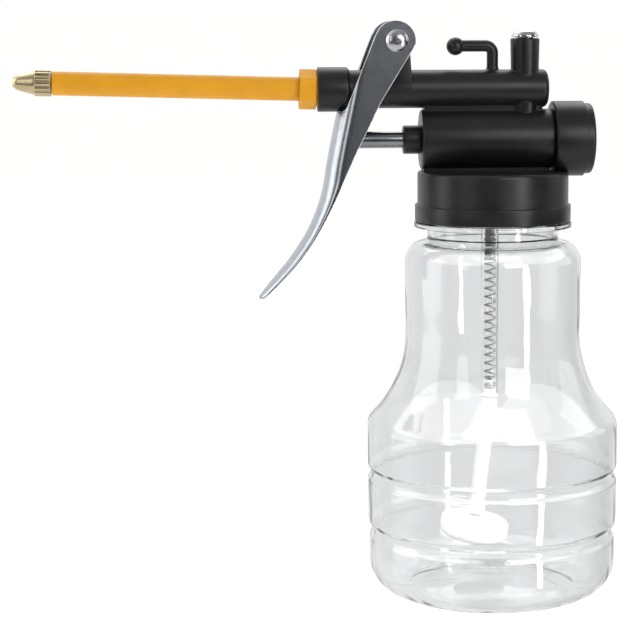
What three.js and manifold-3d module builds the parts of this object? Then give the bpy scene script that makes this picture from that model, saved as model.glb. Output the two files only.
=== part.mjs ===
// Hand-squeezed bottle oiler: a clear bottle, a moulded pump head with its screw cap, a trigger lever,
// a rigid spout with a nozzle, and the valves, piston and springs inside. Millimetres, +Z up.
// The spout points along -X. Everything is laid out from the bottle's axis at the surface it stands on,
// and the finished group is then moved so that its origin is the bottom centre of its bounding box.

import * as THREE from 'three';
import { mergeVertices } from 'three/addons/utils/BufferGeometryUtils.js';
import Module from 'manifold-3d';

const wasm = await Module();
wasm.setup();

// ---------------------------------------------------------------- driving dimensions

const GAP = 0.25;                 // running and assembly clearance between separate pieces

// Bottle
const BOTTLE_RADIUS = 35.0;       // widest band
const BOTTLE_WALL = 0.9;
const WAIST_RADIUS = 24.3;        // the narrow part that the hand holds
const NECK_RADIUS = 18.0;
const RIM_RADIUS = 17.5;          // neck above the transfer ring
const RIM_TOP = 112.8;
const RING_RADIUS = 21.8;
const RING_BOTTOM = 102.4;
const RING_TOP = 103.8;

// Screw cap, moulded in one with the pump head
const CAP_RADIUS = 20.8;
const CAP_SKIRT_RADIUS = 21.5;
const CAP_BOTTOM = 104.1;
const CAP_STEP = 108.6;
const CAP_TOP = 117.8;
const CAP_BORE = 18.5;
const CAP_CEILING = 114.6;
const GASKET_THICKNESS = 1.2;

// Pump cylinder, lying along X
const PUMP_AXIS = 126.45;
const PUMP_RADIUS = 8.2;
const PUMP_LEFT = -20.1;
const PUMP_BORE = 6.0;
const BORE_LEFT = -15.0;
const SPIGOT_RADIUS = 7.6;        // threaded end that carries the end nut
const SPIGOT_RIGHT = 22.9;
const NUT_LEFT = 16.2;
const NUT_STEP = 24.85;
const NUT_RIGHT = 27.1;
const NUT_RADIUS = 10.3;
const NUT_NOSE_RADIUS = 9.65;

// Plunger
const ROD_RADIUS = 2.3;
const ROD_LEFT = -42.9;
const GLAND_LEFT = -24.9;
const GLAND_RADIUS = 3.9;
const COUNTERBORE_RADIUS = 3.5;
const COUNTERBORE_RIGHT = -16.6;
const PISTON_LEFT = -14.6;
const PISTON_LENGTH = 3.0;
const CUP_LENGTH = 2.2;
const TAIL_RADIUS = 1.5;

// Outlet barrel, lying along X above the cylinder
const BARREL_AXIS = 140.25;
const BARREL_RADIUS = 5.2;
const BARREL_RIGHT = 14.9;
const SOCKET_LEFT = -48.25;
const SOCKET_RIGHT = -39.65;
const SOCKET_RADIUS = 6.05;
const SOCKET_BORE = 4.8;
const SOCKET_FLOOR = -41.5;
const OIL_PASSAGE = 1.6;

// Outlet valve tower
const TOWER_X = 8.7;
const TOWER_RADIUS = 4.0;
const TOWER_TOP = 153.9;
const VALVE_CHAMBER = 2.6;
const VALVE_SEAT = 136.9;
const SEAT_HOLE = 1.2;
const OUTLET_BALL = 2.0;
const PLUG_RADIUS = 3.75;
const PLUG_TOP = 156.3;

// Hanging hook
const HOOK_X = -0.25;
const HOOK_RADIUS = 1.57;
const HOOK_ARM = 151.85;
const HOOK_BEND = 1.6;
const HOOK_BALL_X = -10.45;
const HOOK_BALL_RADIUS = 2.45;

// Trigger lever and its pivot
const PIVOT_X = -27.1;
const PIVOT_Z = 153.35;
const RIVET_RADIUS = 2.0;
const RIVET_HEAD_RADIUS = 3.1;
const RIVET_HEAD_HEIGHT = 1.7;
const EAR_X = -27.45;             // centre of the ear's round end
const EAR_Z = 153.3;
const EAR_RADIUS = 5.5;
const LEVER_HALF_WIDTH = 7.35;
const LEVER_SHEET = 1.0;
const LUG_HALF_WIDTH = 5.2;
const LUG_BOSS = 6.0;             // round pads that the lever's ears run against

// Spout and nozzle
const SPOUT_RISE = THREE.MathUtils.degToRad(1.65);   // the spout leans up a little towards its tip
const HEX_LEFT = -53.2;
const HEX_RIGHT = -48.55;
const HEX_RADIUS = 5.6;           // its corners point up and down
const HEX_SPIGOT = 4.5;
const TUBE_RADIUS = 3.2;
const TUBE_BORE = 1.65;
const TUBE_LEFT = -119.4;
const TUBE_RIGHT = -42.9;
const TIP_COLLAR_LEFT = -124.3;
const TIP_LEFT = -129.9;
const TIP_RADIUS = 3.57;
const TIP_FLUTES = 14;
const ORIFICE = 0.6;

// Suction line inside the bottle
const INTAKE_X = -0.7;
const NIPPLE_BOTTOM = 95.2;
const NIPPLE_RADIUS = 1.4;
const NIPPLE_BORE = 0.8;
const INTAKE_TUBE_TOP = 101.8;
const INTAKE_TUBE_BOTTOM = 55.6;
const INTAKE_TUBE_RADIUS = 2.4;
const INTAKE_TUBE_BORE = 2.0;
const INTAKE_BALL = 1.7;
const INTAKE_SEAT = 56.9;
const HOSE_RADIUS = 2.15;
const STRAINER_CENTRE = new THREE.Vector3(-4.9, 0, 17.4);
const STRAINER_RADIUS = 9.6;
const STRAINER_HEIGHT = 6.4;
const STRAINER_TILT = THREE.MathUtils.degToRad(9);

// ---------------------------------------------------------------- materials

const plastic = (color, roughness) => new THREE.MeshStandardMaterial({ color, roughness, metalness: 0 });
const metal = (color, roughness) => new THREE.MeshStandardMaterial({ color, roughness, metalness: 1 });
const clear = (color, opacity) =>
  new THREE.MeshStandardMaterial({ color, roughness: 0.05, metalness: 0, transparent: true, opacity });

const BLACK = 0x1b1b1d;
const YELLOW = 0xd6961e;
const STEEL = 0xb9bcc0;

// ---------------------------------------------------------------- solids

// A geometry with shared vertices merged, faces of no area dropped and all faces pointing out.
function closed(geometry) {
  geometry.deleteAttribute('normal');
  geometry.deleteAttribute('uv');
  const merged = mergeVertices(geometry, 1e-4);
  const p = merged.attributes.position;
  const index = merged.index.array;
  const kept = [];
  let volume = 0;
  const [a, b, c] = [new THREE.Vector3(), new THREE.Vector3(), new THREE.Vector3()];
  for (let i = 0; i < index.length; i += 3) {
    const [u, v, w] = [index[i], index[i + 1], index[i + 2]];
    if (u === v || v === w || w === u) continue;
    kept.push(u, v, w);
    a.fromBufferAttribute(p, u);
    b.fromBufferAttribute(p, v);
    c.fromBufferAttribute(p, w);
    volume += a.dot(b.cross(c));
  }
  if (volume < 0) kept.reverse();
  merged.setIndex(kept);
  return merged;
}

function toSolid(geometry) {
  const g = closed(geometry);
  return new wasm.Manifold(new wasm.Mesh({
    numProp: 3,
    vertProperties: new Float32Array(g.attributes.position.array),
    triVerts: new Uint32Array(g.index.array),
  }));
}

function fromSolid(solid) {
  const mesh = solid.getMesh();
  const g = new THREE.BufferGeometry();
  g.setAttribute('position', new THREE.BufferAttribute(mesh.vertProperties, 3));
  g.setIndex(new THREE.BufferAttribute(mesh.triVerts, 1));
  return g;
}

// Joins the first list and cuts the second list away.
function carve(joined, cut = []) {
  let solid = toSolid(joined[0]);
  for (const piece of joined.slice(1)) solid = solid.add(toSolid(piece));
  for (const piece of cut) solid = solid.subtract(toSolid(piece));
  return fromSolid(solid);
}

const points2 = (pairs) => pairs.map(([x, y]) => new THREE.Vector2(x, y));

// A turned shape about the vertical axis, from [radius, height] pairs or Vector2 points.
function turned(profile, segments = 32) {
  const points = Array.isArray(profile[0]) ? points2(profile) : profile;
  const g = closed(new THREE.LatheGeometry(points, segments));
  return g.rotateX(Math.PI / 2);
}

// The same, about a line along X at height z: pairs are [radius, x].
function turnedAlongX(profile, z, segments = 32) {
  return turned(profile, segments).rotateY(Math.PI / 2).translate(0, 0, z);
}

const rodX = (radius, x0, x1, z, segments = 20) =>
  turnedAlongX([[0, x0], [radius, x0], [radius, x1], [0, x1]], z, segments);

const rodZ = (radius, z0, z1, x = 0, segments = 24) =>
  turned([[0, z0], [radius, z0], [radius, z1], [0, z1]], segments).translate(x, 0, 0);

const rodY = (radius, y0, y1, x, z, segments = 24) =>
  turned([[0, y0], [radius, y0], [radius, y1], [0, y1]], segments).rotateX(-Math.PI / 2).translate(x, 0, z);

const ringX = (inner, outer, x0, x1, z, segments = 20) =>
  turnedAlongX([[inner, x0], [outer, x0], [outer, x1], [inner, x1], [inner, x0]], z, segments);

const ringZ = (inner, outer, z0, z1, x = 0, segments = 24) =>
  turned([[inner, z0], [outer, z0], [outer, z1], [inner, z1], [inner, z0]], segments).translate(x, 0, 0);

// A plate with its outline in the XZ plane, from y0 to y1.
function plate(shape, y0, y1, curveSegments = 8) {
  const g = new THREE.ExtrudeGeometry(shape, { depth: y1 - y0, bevelEnabled: false, curveSegments });
  return g.rotateX(Math.PI / 2).translate(0, y1, 0);
}

// A round bar or wire along a path.
function bar(path, radius, sides, steps) {
  const corners = Array.from({ length: sides }, (_, i) => {
    const angle = (2 * Math.PI * i) / sides;
    return new THREE.Vector2(radius * Math.cos(angle), radius * Math.sin(angle));
  });
  return new THREE.ExtrudeGeometry(new THREE.Shape(corners), { steps, extrudePath: path });
}

class Helix extends THREE.Curve {
  constructor(radius, bottom, top, turns) {
    super();
    Object.assign(this, { radius, bottom, top, turns });
  }

  getPoint(t, target = new THREE.Vector3()) {
    const angle = 2 * Math.PI * this.turns * t;
    const height = this.bottom + (this.top - this.bottom) * t;
    return target.set(this.radius * Math.cos(angle), this.radius * Math.sin(angle), height);
  }
}

// A compression spring standing along Z between two heights, wire included.
function spring(radius, wire, bottom, top, turns, stepsPerTurn = 8) {
  const path = new Helix(radius, bottom + wire, top - wire, turns);
  return closed(bar(path, wire, 4, Math.round(turns * stepsPerTurn)));
}

// ---------------------------------------------------------------- bottle

// Adds a rolled groove to an outline that climbs the wall.
function rolledGroove(outline, centre, halfWidth, bottomRadius, radiusBelow, radiusAbove) {
  const ease = halfWidth / 2;
  outline.lineTo(radiusBelow, centre - halfWidth);
  outline.bezierCurveTo(radiusBelow, centre - ease, bottomRadius, centre - ease, bottomRadius, centre);
  outline.bezierCurveTo(
    bottomRadius, centre + ease, radiusAbove, centre + ease, radiusAbove, centre + halfWidth);
}

// The outside of the blown body, from the middle of its base to the foot of the neck.
function bottleOutline() {
  const base = 25.5;
  const corner = 9.0;
  const lowerBand = base + corner;
  const middleBand = 34.9;
  const shoulder = 4.5;
  const shoulderZ = 46.9;
  const outline = new THREE.Path();
  outline.moveTo(0, 4.2);
  outline.bezierCurveTo(13, 4.2, 20, 2.6, 23.3, 0);
  outline.lineTo(base, 0);
  outline.absarc(base, corner, corner, -Math.PI / 2, 0);
  rolledGroove(outline, 17.75, 3.0, 33.7, lowerBand, middleBand);
  rolledGroove(outline, 33.95, 2.5, 33.95, middleBand, BOTTLE_RADIUS);
  outline.absarc(BOTTLE_RADIUS - shoulder, shoulderZ, shoulder, 0, Math.PI / 4);
  outline.bezierCurveTo(31.4, 52.4, 29.1, 55.6, 27.4, 59.4);
  outline.bezierCurveTo(25.6, 63.4, 24.4, 67.8, WAIST_RADIUS, 73);
  outline.lineTo(24.5, 92.5);
  outline.absellipse(19.0, 92.5, 5.5, 6.0, 0, 0.44 * Math.PI);
  outline.quadraticCurveTo(NECK_RADIUS, 98.8, NECK_RADIUS, 100.2);
  return outline.getPoints(3);
}

// The points of an outline moved inwards along its own normals.
function inset(points, distance) {
  return points.map((point, i) => {
    const before = points[Math.max(i - 1, 0)];
    const after = points[Math.min(i + 1, points.length - 1)];
    const along = after.clone().sub(before).normalize();
    return new THREE.Vector2(Math.max(point.x - along.y * distance, 0), point.y + along.x * distance);
  });
}

function bottle() {
  const body = bottleOutline();
  const hollow = inset(body, BOTTLE_WALL).filter((p) => p.y < 100 || p.x > RIM_RADIUS);
  const neckBore = NECK_RADIUS - 1.4;
  const finish = points2([
    [NECK_RADIUS, RING_BOTTOM],
    [RING_RADIUS - 0.3, RING_BOTTOM],
    [RING_RADIUS, RING_BOTTOM + 0.3],
    [RING_RADIUS, RING_TOP - 0.3],
    [RING_RADIUS - 0.3, RING_TOP],
    [RIM_RADIUS, RING_TOP],
    [RIM_RADIUS, RIM_TOP - 0.4],
    [RIM_RADIUS - 0.4, RIM_TOP],
    [neckBore, RIM_TOP],
    [neckBore, 99.8],
  ]);
  hollow[0].x = 0;
  return turned([...body, ...finish, ...hollow.reverse()], 24);
}

// ---------------------------------------------------------------- pump head

function capShell() {
  return turned([
    [0, CAP_TOP],
    [CAP_RADIUS - 0.9, CAP_TOP],
    [CAP_RADIUS, CAP_TOP - 0.9],
    [CAP_RADIUS, CAP_STEP],
    [CAP_SKIRT_RADIUS, CAP_STEP],
    [CAP_SKIRT_RADIUS, CAP_BOTTOM],
    [CAP_BORE, CAP_BOTTOM],
    [CAP_BORE, CAP_CEILING],
    [0, CAP_CEILING],
  ], 32);
}

function pumpCylinder() {
  return turnedAlongX([
    [0, PUMP_LEFT],
    [PUMP_RADIUS - 0.8, PUMP_LEFT],
    [PUMP_RADIUS, PUMP_LEFT + 0.8],
    [PUMP_RADIUS, NUT_LEFT - GAP],
    [SPIGOT_RADIUS, NUT_LEFT - GAP],
    [SPIGOT_RADIUS, SPIGOT_RIGHT],
    [0, SPIGOT_RIGHT],
  ], PUMP_AXIS, 28);
}

function outletBarrel() {
  return turnedAlongX([
    [0, SOCKET_LEFT],
    [SOCKET_RADIUS, SOCKET_LEFT],
    [SOCKET_RADIUS, SOCKET_RIGHT - 0.8],
    [BARREL_RADIUS, SOCKET_RIGHT],
    [BARREL_RADIUS, BARREL_RIGHT - 1.4],
    [BARREL_RADIUS - 0.4, BARREL_RIGHT - 0.5],
    [BARREL_RADIUS - 1.4, BARREL_RIGHT],
    [0, BARREL_RIGHT],
  ], BARREL_AXIS, 24);
}

function valveTower() {
  return turned([
    [0, PUMP_AXIS + 3],
    [TOWER_RADIUS - 0.1, PUMP_AXIS + 3],
    [TOWER_RADIUS - 0.15, 146],
    [TOWER_RADIUS, TOWER_TOP - 0.8],
    [TOWER_RADIUS - 0.35, TOWER_TOP],
    [0, TOWER_TOP],
  ], 20).translate(TOWER_X, 0, 0);
}

function hangingHook() {
  const path = new THREE.CurvePath();
  const bendZ = HOOK_ARM - HOOK_BEND;
  const corner = new THREE.Vector3(HOOK_X, 0, HOOK_ARM);
  const bendStart = new THREE.Vector3(HOOK_X, 0, bendZ);
  const bendEnd = new THREE.Vector3(HOOK_X - HOOK_BEND, 0, HOOK_ARM);
  path.add(new THREE.LineCurve3(new THREE.Vector3(HOOK_X, 0, BARREL_AXIS + 3), bendStart));
  path.add(new THREE.QuadraticBezierCurve3(bendStart, corner, bendEnd));
  path.add(new THREE.LineCurve3(bendEnd, new THREE.Vector3(HOOK_BALL_X, 0, HOOK_ARM)));
  const foot = turned([[0, 143.5], [2.5, 143.5], [2.5, 144.9], [HOOK_RADIUS, 146.4], [0, 146.4]], 16);
  const ball = new THREE.SphereGeometry(HOOK_BALL_RADIUS, 14, 10);
  return [
    bar(path, HOOK_RADIUS, 10, 12),
    foot.translate(HOOK_X, 0, 0),
    ball.translate(HOOK_BALL_X, 0, HOOK_ARM - 0.1),
  ];
}

// The web that ties the outlet barrel to the cylinder.
function barrelWeb() {
  const [left, right, halfWidth] = [PUMP_LEFT + 0.8, BARREL_RIGHT - 1.6, 2.6];
  return new THREE.BoxGeometry(right - left, 2 * halfWidth, BARREL_AXIS - PUMP_AXIS - PUMP_BORE - 2)
    .translate((left + right) / 2, 0, (BARREL_AXIS + PUMP_AXIS + PUMP_BORE - 1) / 2);
}

// The cylinder's foot, moulded on to the cap's top.
function saddle() {
  const [left, right, halfWidth] = [PUMP_LEFT + 0.6, NUT_LEFT - 1.0, 3.2];
  return new THREE.BoxGeometry(right - left, 2 * halfWidth, 5)
    .translate((left + right) / 2, 0, CAP_TOP + 1.5);
}

function triggerLug() {
  const shape = new THREE.Shape();
  const round = 3.6;
  shape.moveTo(PIVOT_X - round, PIVOT_Z);
  shape.lineTo(PIVOT_X - round, BARREL_AXIS);
  shape.lineTo(PIVOT_X + 4.6, BARREL_AXIS);
  shape.lineTo(PIVOT_X + 4.1, 145.6);
  shape.lineTo(PIVOT_X + round, PIVOT_Z);
  shape.absarc(PIVOT_X, PIVOT_Z, round, 0, Math.PI);
  return plate(shape, -LUG_HALF_WIDTH, LUG_HALF_WIDTH);
}

function barbedNipple() {
  const barb = 1.72;
  const profile = [[0, NIPPLE_BOTTOM], [NIPPLE_RADIUS, NIPPLE_BOTTOM]];
  for (let i = 0; i < 3; i += 1) {
    const z = NIPPLE_BOTTOM + 0.6 + 1.8 * i;
    profile.push([NIPPLE_RADIUS, z], [barb, z + 1.0], [NIPPLE_RADIUS, z + 1.1]);
  }
  profile.push([NIPPLE_RADIUS, 102.6], [2.6, 104], [3.4, 111]);
  profile.push([3.4, CAP_CEILING + 1], [0, CAP_CEILING + 1]);
  return turned(profile, 20).translate(INTAKE_X, 0, 0);
}

// A slanted bore between two points in the XZ plane.
function slantedBore(radius, x0, z0, x1, z1) {
  const length = Math.hypot(x1 - x0, z1 - z0);
  const lean = Math.atan2(x1 - x0, z1 - z0);
  return rodZ(radius, 0, length, 0, 12).rotateY(lean).translate(x0, 0, z0);
}

function pumpHead() {
  const bores = [
    rodX(PUMP_BORE, BORE_LEFT, SPIGOT_RIGHT + 1, PUMP_AXIS),
    rodX(ROD_RADIUS + GAP, PUMP_LEFT - 1, BORE_LEFT + 1, PUMP_AXIS, 20),
    rodX(COUNTERBORE_RADIUS, PUMP_LEFT - 1, COUNTERBORE_RIGHT, PUMP_AXIS, 20),
    rodX(OIL_PASSAGE, SOCKET_FLOOR - 1, TOWER_X, BARREL_AXIS, 12),
    rodX(SOCKET_BORE, SOCKET_LEFT - 1, SOCKET_FLOOR, BARREL_AXIS),
    rodZ(VALVE_CHAMBER, VALVE_SEAT, TOWER_TOP + 1, TOWER_X, 20),
    rodZ(SEAT_HOLE, PUMP_AXIS, VALVE_SEAT + 1, TOWER_X, 12),
    rodZ(NIPPLE_BORE, NIPPLE_BOTTOM - 1, CAP_CEILING + 1, INTAKE_X, 12),
    slantedBore(NIPPLE_BORE, INTAKE_X, CAP_CEILING, TOWER_X, PUMP_AXIS - PUMP_BORE + 1),
    rodY(RIVET_RADIUS + GAP, -10, 10, PIVOT_X, PIVOT_Z, 20),
  ];
  // The room for the end nut is cut from the cap alone, before the threaded spigot is added.
  const nutRelief = rodX(NUT_RADIUS + 0.35, NUT_LEFT - GAP, NUT_RIGHT + 2, PUMP_AXIS, 32);
  return carve([
    carve([capShell(), saddle()], [nutRelief]),
    pumpCylinder(),
    barrelWeb(),
    outletBarrel(),
    valveTower(),
    ...hangingHook(),
    triggerLug(),
    rodY(3.3, -LUG_BOSS, LUG_BOSS, PIVOT_X, PIVOT_Z, 20),
    barbedNipple(),
  ], bores);
}

const neckGasket = () =>
  ringZ(NECK_RADIUS - 1.8, CAP_BORE - GAP, CAP_CEILING - GASKET_THICKNESS - GAP, CAP_CEILING - GAP, 0, 28);

// ---------------------------------------------------------------- pump cylinder's parts

function endNut() {
  const bore = SPIGOT_RADIUS + GAP;
  const floor = SPIGOT_RIGHT + 1.0;
  return turnedAlongX([
    [bore, NUT_LEFT],
    [NUT_RADIUS - 0.5, NUT_LEFT],
    [NUT_RADIUS, NUT_LEFT + 0.5],
    [NUT_RADIUS, NUT_STEP],
    [NUT_NOSE_RADIUS, NUT_STEP],
    [NUT_NOSE_RADIUS, NUT_RIGHT - 0.7],
    [NUT_NOSE_RADIUS - 0.7, NUT_RIGHT],
    [0, NUT_RIGHT],
    [0, floor],
    [bore, floor],
    [bore, NUT_LEFT],
  ], PUMP_AXIS, 28);
}

const endNutSeal = () =>
  ringX(PUMP_BORE + GAP, SPIGOT_RADIUS, SPIGOT_RIGHT + 0.2, SPIGOT_RIGHT + 0.8, PUMP_AXIS);

function rodGland() {
  const spigot = COUNTERBORE_RADIUS - GAP;
  const bore = ROD_RADIUS + GAP;
  const right = COUNTERBORE_RIGHT - 2.0;
  return turnedAlongX([
    [bore, GLAND_LEFT],
    [GLAND_RADIUS - 0.6, GLAND_LEFT],
    [GLAND_RADIUS, GLAND_LEFT + 0.6],
    [GLAND_RADIUS, PUMP_LEFT - GAP],
    [spigot, PUMP_LEFT - GAP],
    [spigot, right],
    [bore, right],
    [bore, GLAND_LEFT],
  ], PUMP_AXIS, 20);
}

function rodSeal() {
  const wire = 0.42;
  const middle = ROD_RADIUS + 0.12 + wire;
  const x = COUNTERBORE_RIGHT - 1.0;
  return closed(new THREE.TorusGeometry(middle, wire, 5, 16))
    .rotateY(Math.PI / 2)
    .translate(x, 0, PUMP_AXIS);
}

function plungerRod() {
  const shoulder = PISTON_LEFT - GAP;
  const tail = PISTON_LEFT + PISTON_LENGTH + CUP_LENGTH + 3 * GAP;
  return turnedAlongX([
    [0, ROD_LEFT],
    [1.2, ROD_LEFT + 0.3],
    [2.0, ROD_LEFT + 1.0],
    [ROD_RADIUS, ROD_LEFT + 2.0],
    [ROD_RADIUS, shoulder],
    [TAIL_RADIUS, shoulder],
    [TAIL_RADIUS, tail],
    [2.8, tail],
    [2.8, tail + 0.7],
    [2.2, tail + 1.1],
    [0, tail + 1.1],
  ], PUMP_AXIS, 20);
}

const piston = () => ringX(
  TAIL_RADIUS + GAP, PUMP_BORE - GAP, PISTON_LEFT, PISTON_LEFT + PISTON_LENGTH, PUMP_AXIS);

// A lip seal that opens towards the oil.
function pistonCup() {
  const left = PISTON_LEFT + PISTON_LENGTH + GAP;
  const right = left + CUP_LENGTH;
  const bore = TAIL_RADIUS + GAP;
  return turnedAlongX([
    [bore, left],
    [PUMP_BORE - 0.5, left],
    [PUMP_BORE - 0.15, right],
    [PUMP_BORE - 0.9, right],
    [PUMP_BORE - 1.3, left + 1.2],
    [3.2, left + 1.2],
    [3.0, right],
    [bore, right],
    [bore, left],
  ], PUMP_AXIS, 20);
}

function returnSpring() {
  const left = PISTON_LEFT + PISTON_LENGTH + CUP_LENGTH + 2 * GAP;
  const right = SPIGOT_RIGHT + 1.0 - GAP;
  return spring(4.0, 0.4, left, right, 9).rotateY(Math.PI / 2).translate(0, 0, PUMP_AXIS);
}

// ---------------------------------------------------------------- valves

const ball = (radius, x, z) => closed(new THREE.SphereGeometry(radius, 12, 8)).translate(x, 0, z);

// The height of a ball's centre when it rests on the edge of a round hole.
const seated = (radius, hole, edge) => edge + Math.sqrt(radius ** 2 - hole ** 2) + 0.1;

const outletBallZ = seated(OUTLET_BALL, SEAT_HOLE, VALVE_SEAT);
const outletBall = () => ball(OUTLET_BALL, TOWER_X, outletBallZ);

const plugFoot = TOWER_TOP - 3.6;
const outletSpring = () =>
  spring(1.7, 0.25, outletBallZ + OUTLET_BALL * 0.75, plugFoot - GAP, 6).translate(TOWER_X, 0, 0);

function valvePlug() {
  const seat = TOWER_TOP + GAP;
  const stem = VALVE_CHAMBER - GAP;
  return turned([
    [0, plugFoot],
    [stem, plugFoot],
    [stem, seat],
    [PLUG_RADIUS, seat],
    [PLUG_RADIUS, seat + 0.4],
    [3.4, seat + 1.1],
    [2.5, seat + 1.7],
    [1.3, PLUG_TOP - 0.1],
    [0, PLUG_TOP],
  ], 24).translate(TOWER_X, 0, 0);
}

const intakeBallZ = seated(INTAKE_BALL, 0.9, INTAKE_SEAT);
const intakeBall = () => ball(INTAKE_BALL, INTAKE_X, intakeBallZ);

const intakeSpring = () =>
  spring(1.45, 0.22, intakeBallZ + INTAKE_BALL * 0.75, NIPPLE_BOTTOM - GAP, 17).translate(INTAKE_X, 0, 0);

const intakeTube = () => ringZ(
  INTAKE_TUBE_BORE, INTAKE_TUBE_RADIUS, INTAKE_TUBE_BOTTOM, INTAKE_TUBE_TOP, INTAKE_X, 20);

// The plug in the tube's foot: the ball's seat above, a flange, and a stem for the hose below.
function intakeSeat() {
  const plug = INTAKE_TUBE_BORE - GAP;
  const flange = INTAKE_TUBE_BOTTOM - GAP;
  const stem = 1.2;
  return turned([
    [0.6, flange - 4.6],
    [stem, flange - 4.6],
    [stem, flange - 0.7],
    [INTAKE_TUBE_RADIUS, flange - 0.7],
    [INTAKE_TUBE_RADIUS, flange],
    [plug, flange],
    [plug, INTAKE_SEAT],
    [0.9, INTAKE_SEAT],
    [0.6, INTAKE_SEAT - 0.4],
    [0.6, flange - 4.6],
  ], 20).translate(INTAKE_X, 0, 0);
}

// ---------------------------------------------------------------- suction hose and strainer

// The hose hangs from the seat's flange and swings a little towards the trigger.
const hoseRoute = new THREE.CatmullRomCurve3([
  new THREE.Vector3(-0.7, 0, 54.35),
  new THREE.Vector3(-0.75, 0, 51),
  new THREE.Vector3(-1.2, 0, 46.5),
  new THREE.Vector3(-2.0, 0, 41),
  new THREE.Vector3(-2.8, 0, 35.5),
  new THREE.Vector3(-3.5, 0, 30),
  new THREE.Vector3(-4.0, 0, 25.5),
  new THREE.Vector3(-4.3, 0, 21.4),
]);

// The hose's top end is hollow, to go over the stem.
function suctionHose() {
  const stem = rodZ(1.2 + GAP, 49.6, 56, INTAKE_X, 12);
  return carve([bar(hoseRoute, HOSE_RADIUS, 8, 10)], [stem]);
}

function suctionStrainer() {
  const half = STRAINER_HEIGHT / 2;
  const edge = 1.6;
  return turned([
    [0, -half],
    [STRAINER_RADIUS - edge, -half],
    [STRAINER_RADIUS - 0.4, -half + 0.5],
    [STRAINER_RADIUS, -half + edge],
    [STRAINER_RADIUS, half - edge],
    [STRAINER_RADIUS - 0.4, half - 0.5],
    [STRAINER_RADIUS - edge, half],
    [0, half],
  ], 24).rotateY(STRAINER_TILT).translate(...STRAINER_CENTRE.toArray());
}

// ---------------------------------------------------------------- trigger lever

// Stations down the lever: where its front face runs, how deep it is from front to rear edge, and how
// wide it is across. [x, z, depth, half-width]
const leverStations = [
  [-43.1, 133.7, 9.4, 7.35],
  [-44.5, 127.2, 7.7, 7.35],
  [-45.9, 120.0, 5.9, 7.35],
  [-47.1, 113.0, 4.1, 7.3],
  [-48.9, 107.3, 3.15, 7.2],
  [-51.7, 101.2, 2.6, 7.0],
  [-55.6, 95.2, 2.35, 6.6],
  [-59.2, 90.7, 2.1, 6.0],
  [-62.4, 86.9, 1.8, 4.9],
  [-64.5, 84.2, 1.45, 3.0],
];
const NOSE_DEPTH = 4.8;           // how far the rounded front reaches back before the sides run flat

// One station's outline, from the near rear edge round the front to the far rear edge.
function channelSection(depth, halfWidth, inward) {
  const nose = Math.min(NOSE_DEPTH, depth);
  const arc = 10;
  const side = halfWidth - inward;
  const front = Math.min(inward, depth * 0.55);
  const section = [[depth, -side]];
  for (let i = 0; i <= arc; i += 1) {
    const angle = -Math.PI / 2 + (Math.PI * i) / arc;
    section.push([nose - (nose - front) * Math.cos(angle), side * Math.sin(angle)]);
  }
  section.push([depth, side]);
  return section;
}

// The folded channel below the barrel, lofted through its stations as one thin closed shell.
function leverChannel() {
  const front = new THREE.CatmullRomCurve3(leverStations.map(([x, z]) => new THREE.Vector3(x, 0, z)));
  const rings = leverStations.map(([x, z, depth, halfWidth], i) => {
    const along = front.getTangent(i / (leverStations.length - 1));
    const back = i === 0 ? new THREE.Vector3(1, 0, 0) : new THREE.Vector3(-along.z, 0, along.x);
    const outer = channelSection(depth, halfWidth, 0);
    const inner = channelSection(depth, halfWidth, LEVER_SHEET).reverse();
    return [...outer, ...inner].map(([u, y]) => [x + back.x * u, y, z + back.z * u]);
  });
  const size = rings[0].length;
  const index = [];
  const quad = (a, b, c, d) => index.push(a, b, c, a, c, d);
  for (let i = 0; i + 1 < rings.length; i += 1) {
    for (let j = 0; j < size; j += 1) {
      const next = (j + 1) % size;
      quad(i * size + j, i * size + next, (i + 1) * size + next, (i + 1) * size + j);
    }
  }
  const last = (rings.length - 1) * size;
  for (let j = 0; j + 1 < size / 2; j += 1) {
    quad(j, size - 1 - j, size - 2 - j, j + 1);
    quad(last + j, last + j + 1, last + size - 2 - j, last + size - 1 - j);
  }
  const g = new THREE.BufferGeometry();
  g.setAttribute('position', new THREE.Float32BufferAttribute(rings.flat(2), 3));
  g.setIndex(index);
  return g;
}

// The side of the lever from its round eye down past the barrel to where it meets the channel's sides.
function earShape() {
  const shape = new THREE.Shape();
  shape.moveTo(-41.0, 134.9);
  shape.lineTo(-39.75, 137.6);
  shape.lineTo(-32.7, 155.3);
  shape.absarc(EAR_X, EAR_Z, EAR_RADIUS, 0.88 * Math.PI, -0.06 * Math.PI, true);
  shape.lineTo(-31.15, 137.5);
  shape.lineTo(-35.2, 129.35);
  shape.lineTo(-37.6, 124.6);
  shape.lineTo(-38.9, 129.0);
  shape.lineTo(-39.6, 133.0);
  shape.closePath();
  return shape;
}

function triggerLever() {
  const inner = LEVER_HALF_WIDTH - LEVER_SHEET;
  const near = plate(earShape(), -LEVER_HALF_WIDTH, -inner, 7);
  const far = plate(earShape(), inner, LEVER_HALF_WIDTH, 7);
  return carve([leverChannel(), near, far], [rodY(RIVET_RADIUS + GAP, -10, 10, PIVOT_X, PIVOT_Z, 20)]);
}

function pivotRivet() {
  const face = LEVER_HALF_WIDTH + 0.2;
  const top = face + RIVET_HEAD_HEIGHT;
  const half = [
    [RIVET_RADIUS, face],
    [RIVET_HEAD_RADIUS, face],
    [RIVET_HEAD_RADIUS - 0.1, face + 0.5],
    [2.4, top - 0.5],
    [1.3, top - 0.1],
    [0, top],
  ];
  const mirrored = half.map(([r, y]) => [r, -y]).reverse();
  return turned([...mirrored, ...half], 20).rotateX(-Math.PI / 2).translate(PIVOT_X, 0, PIVOT_Z);
}

// ---------------------------------------------------------------- spout

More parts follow.
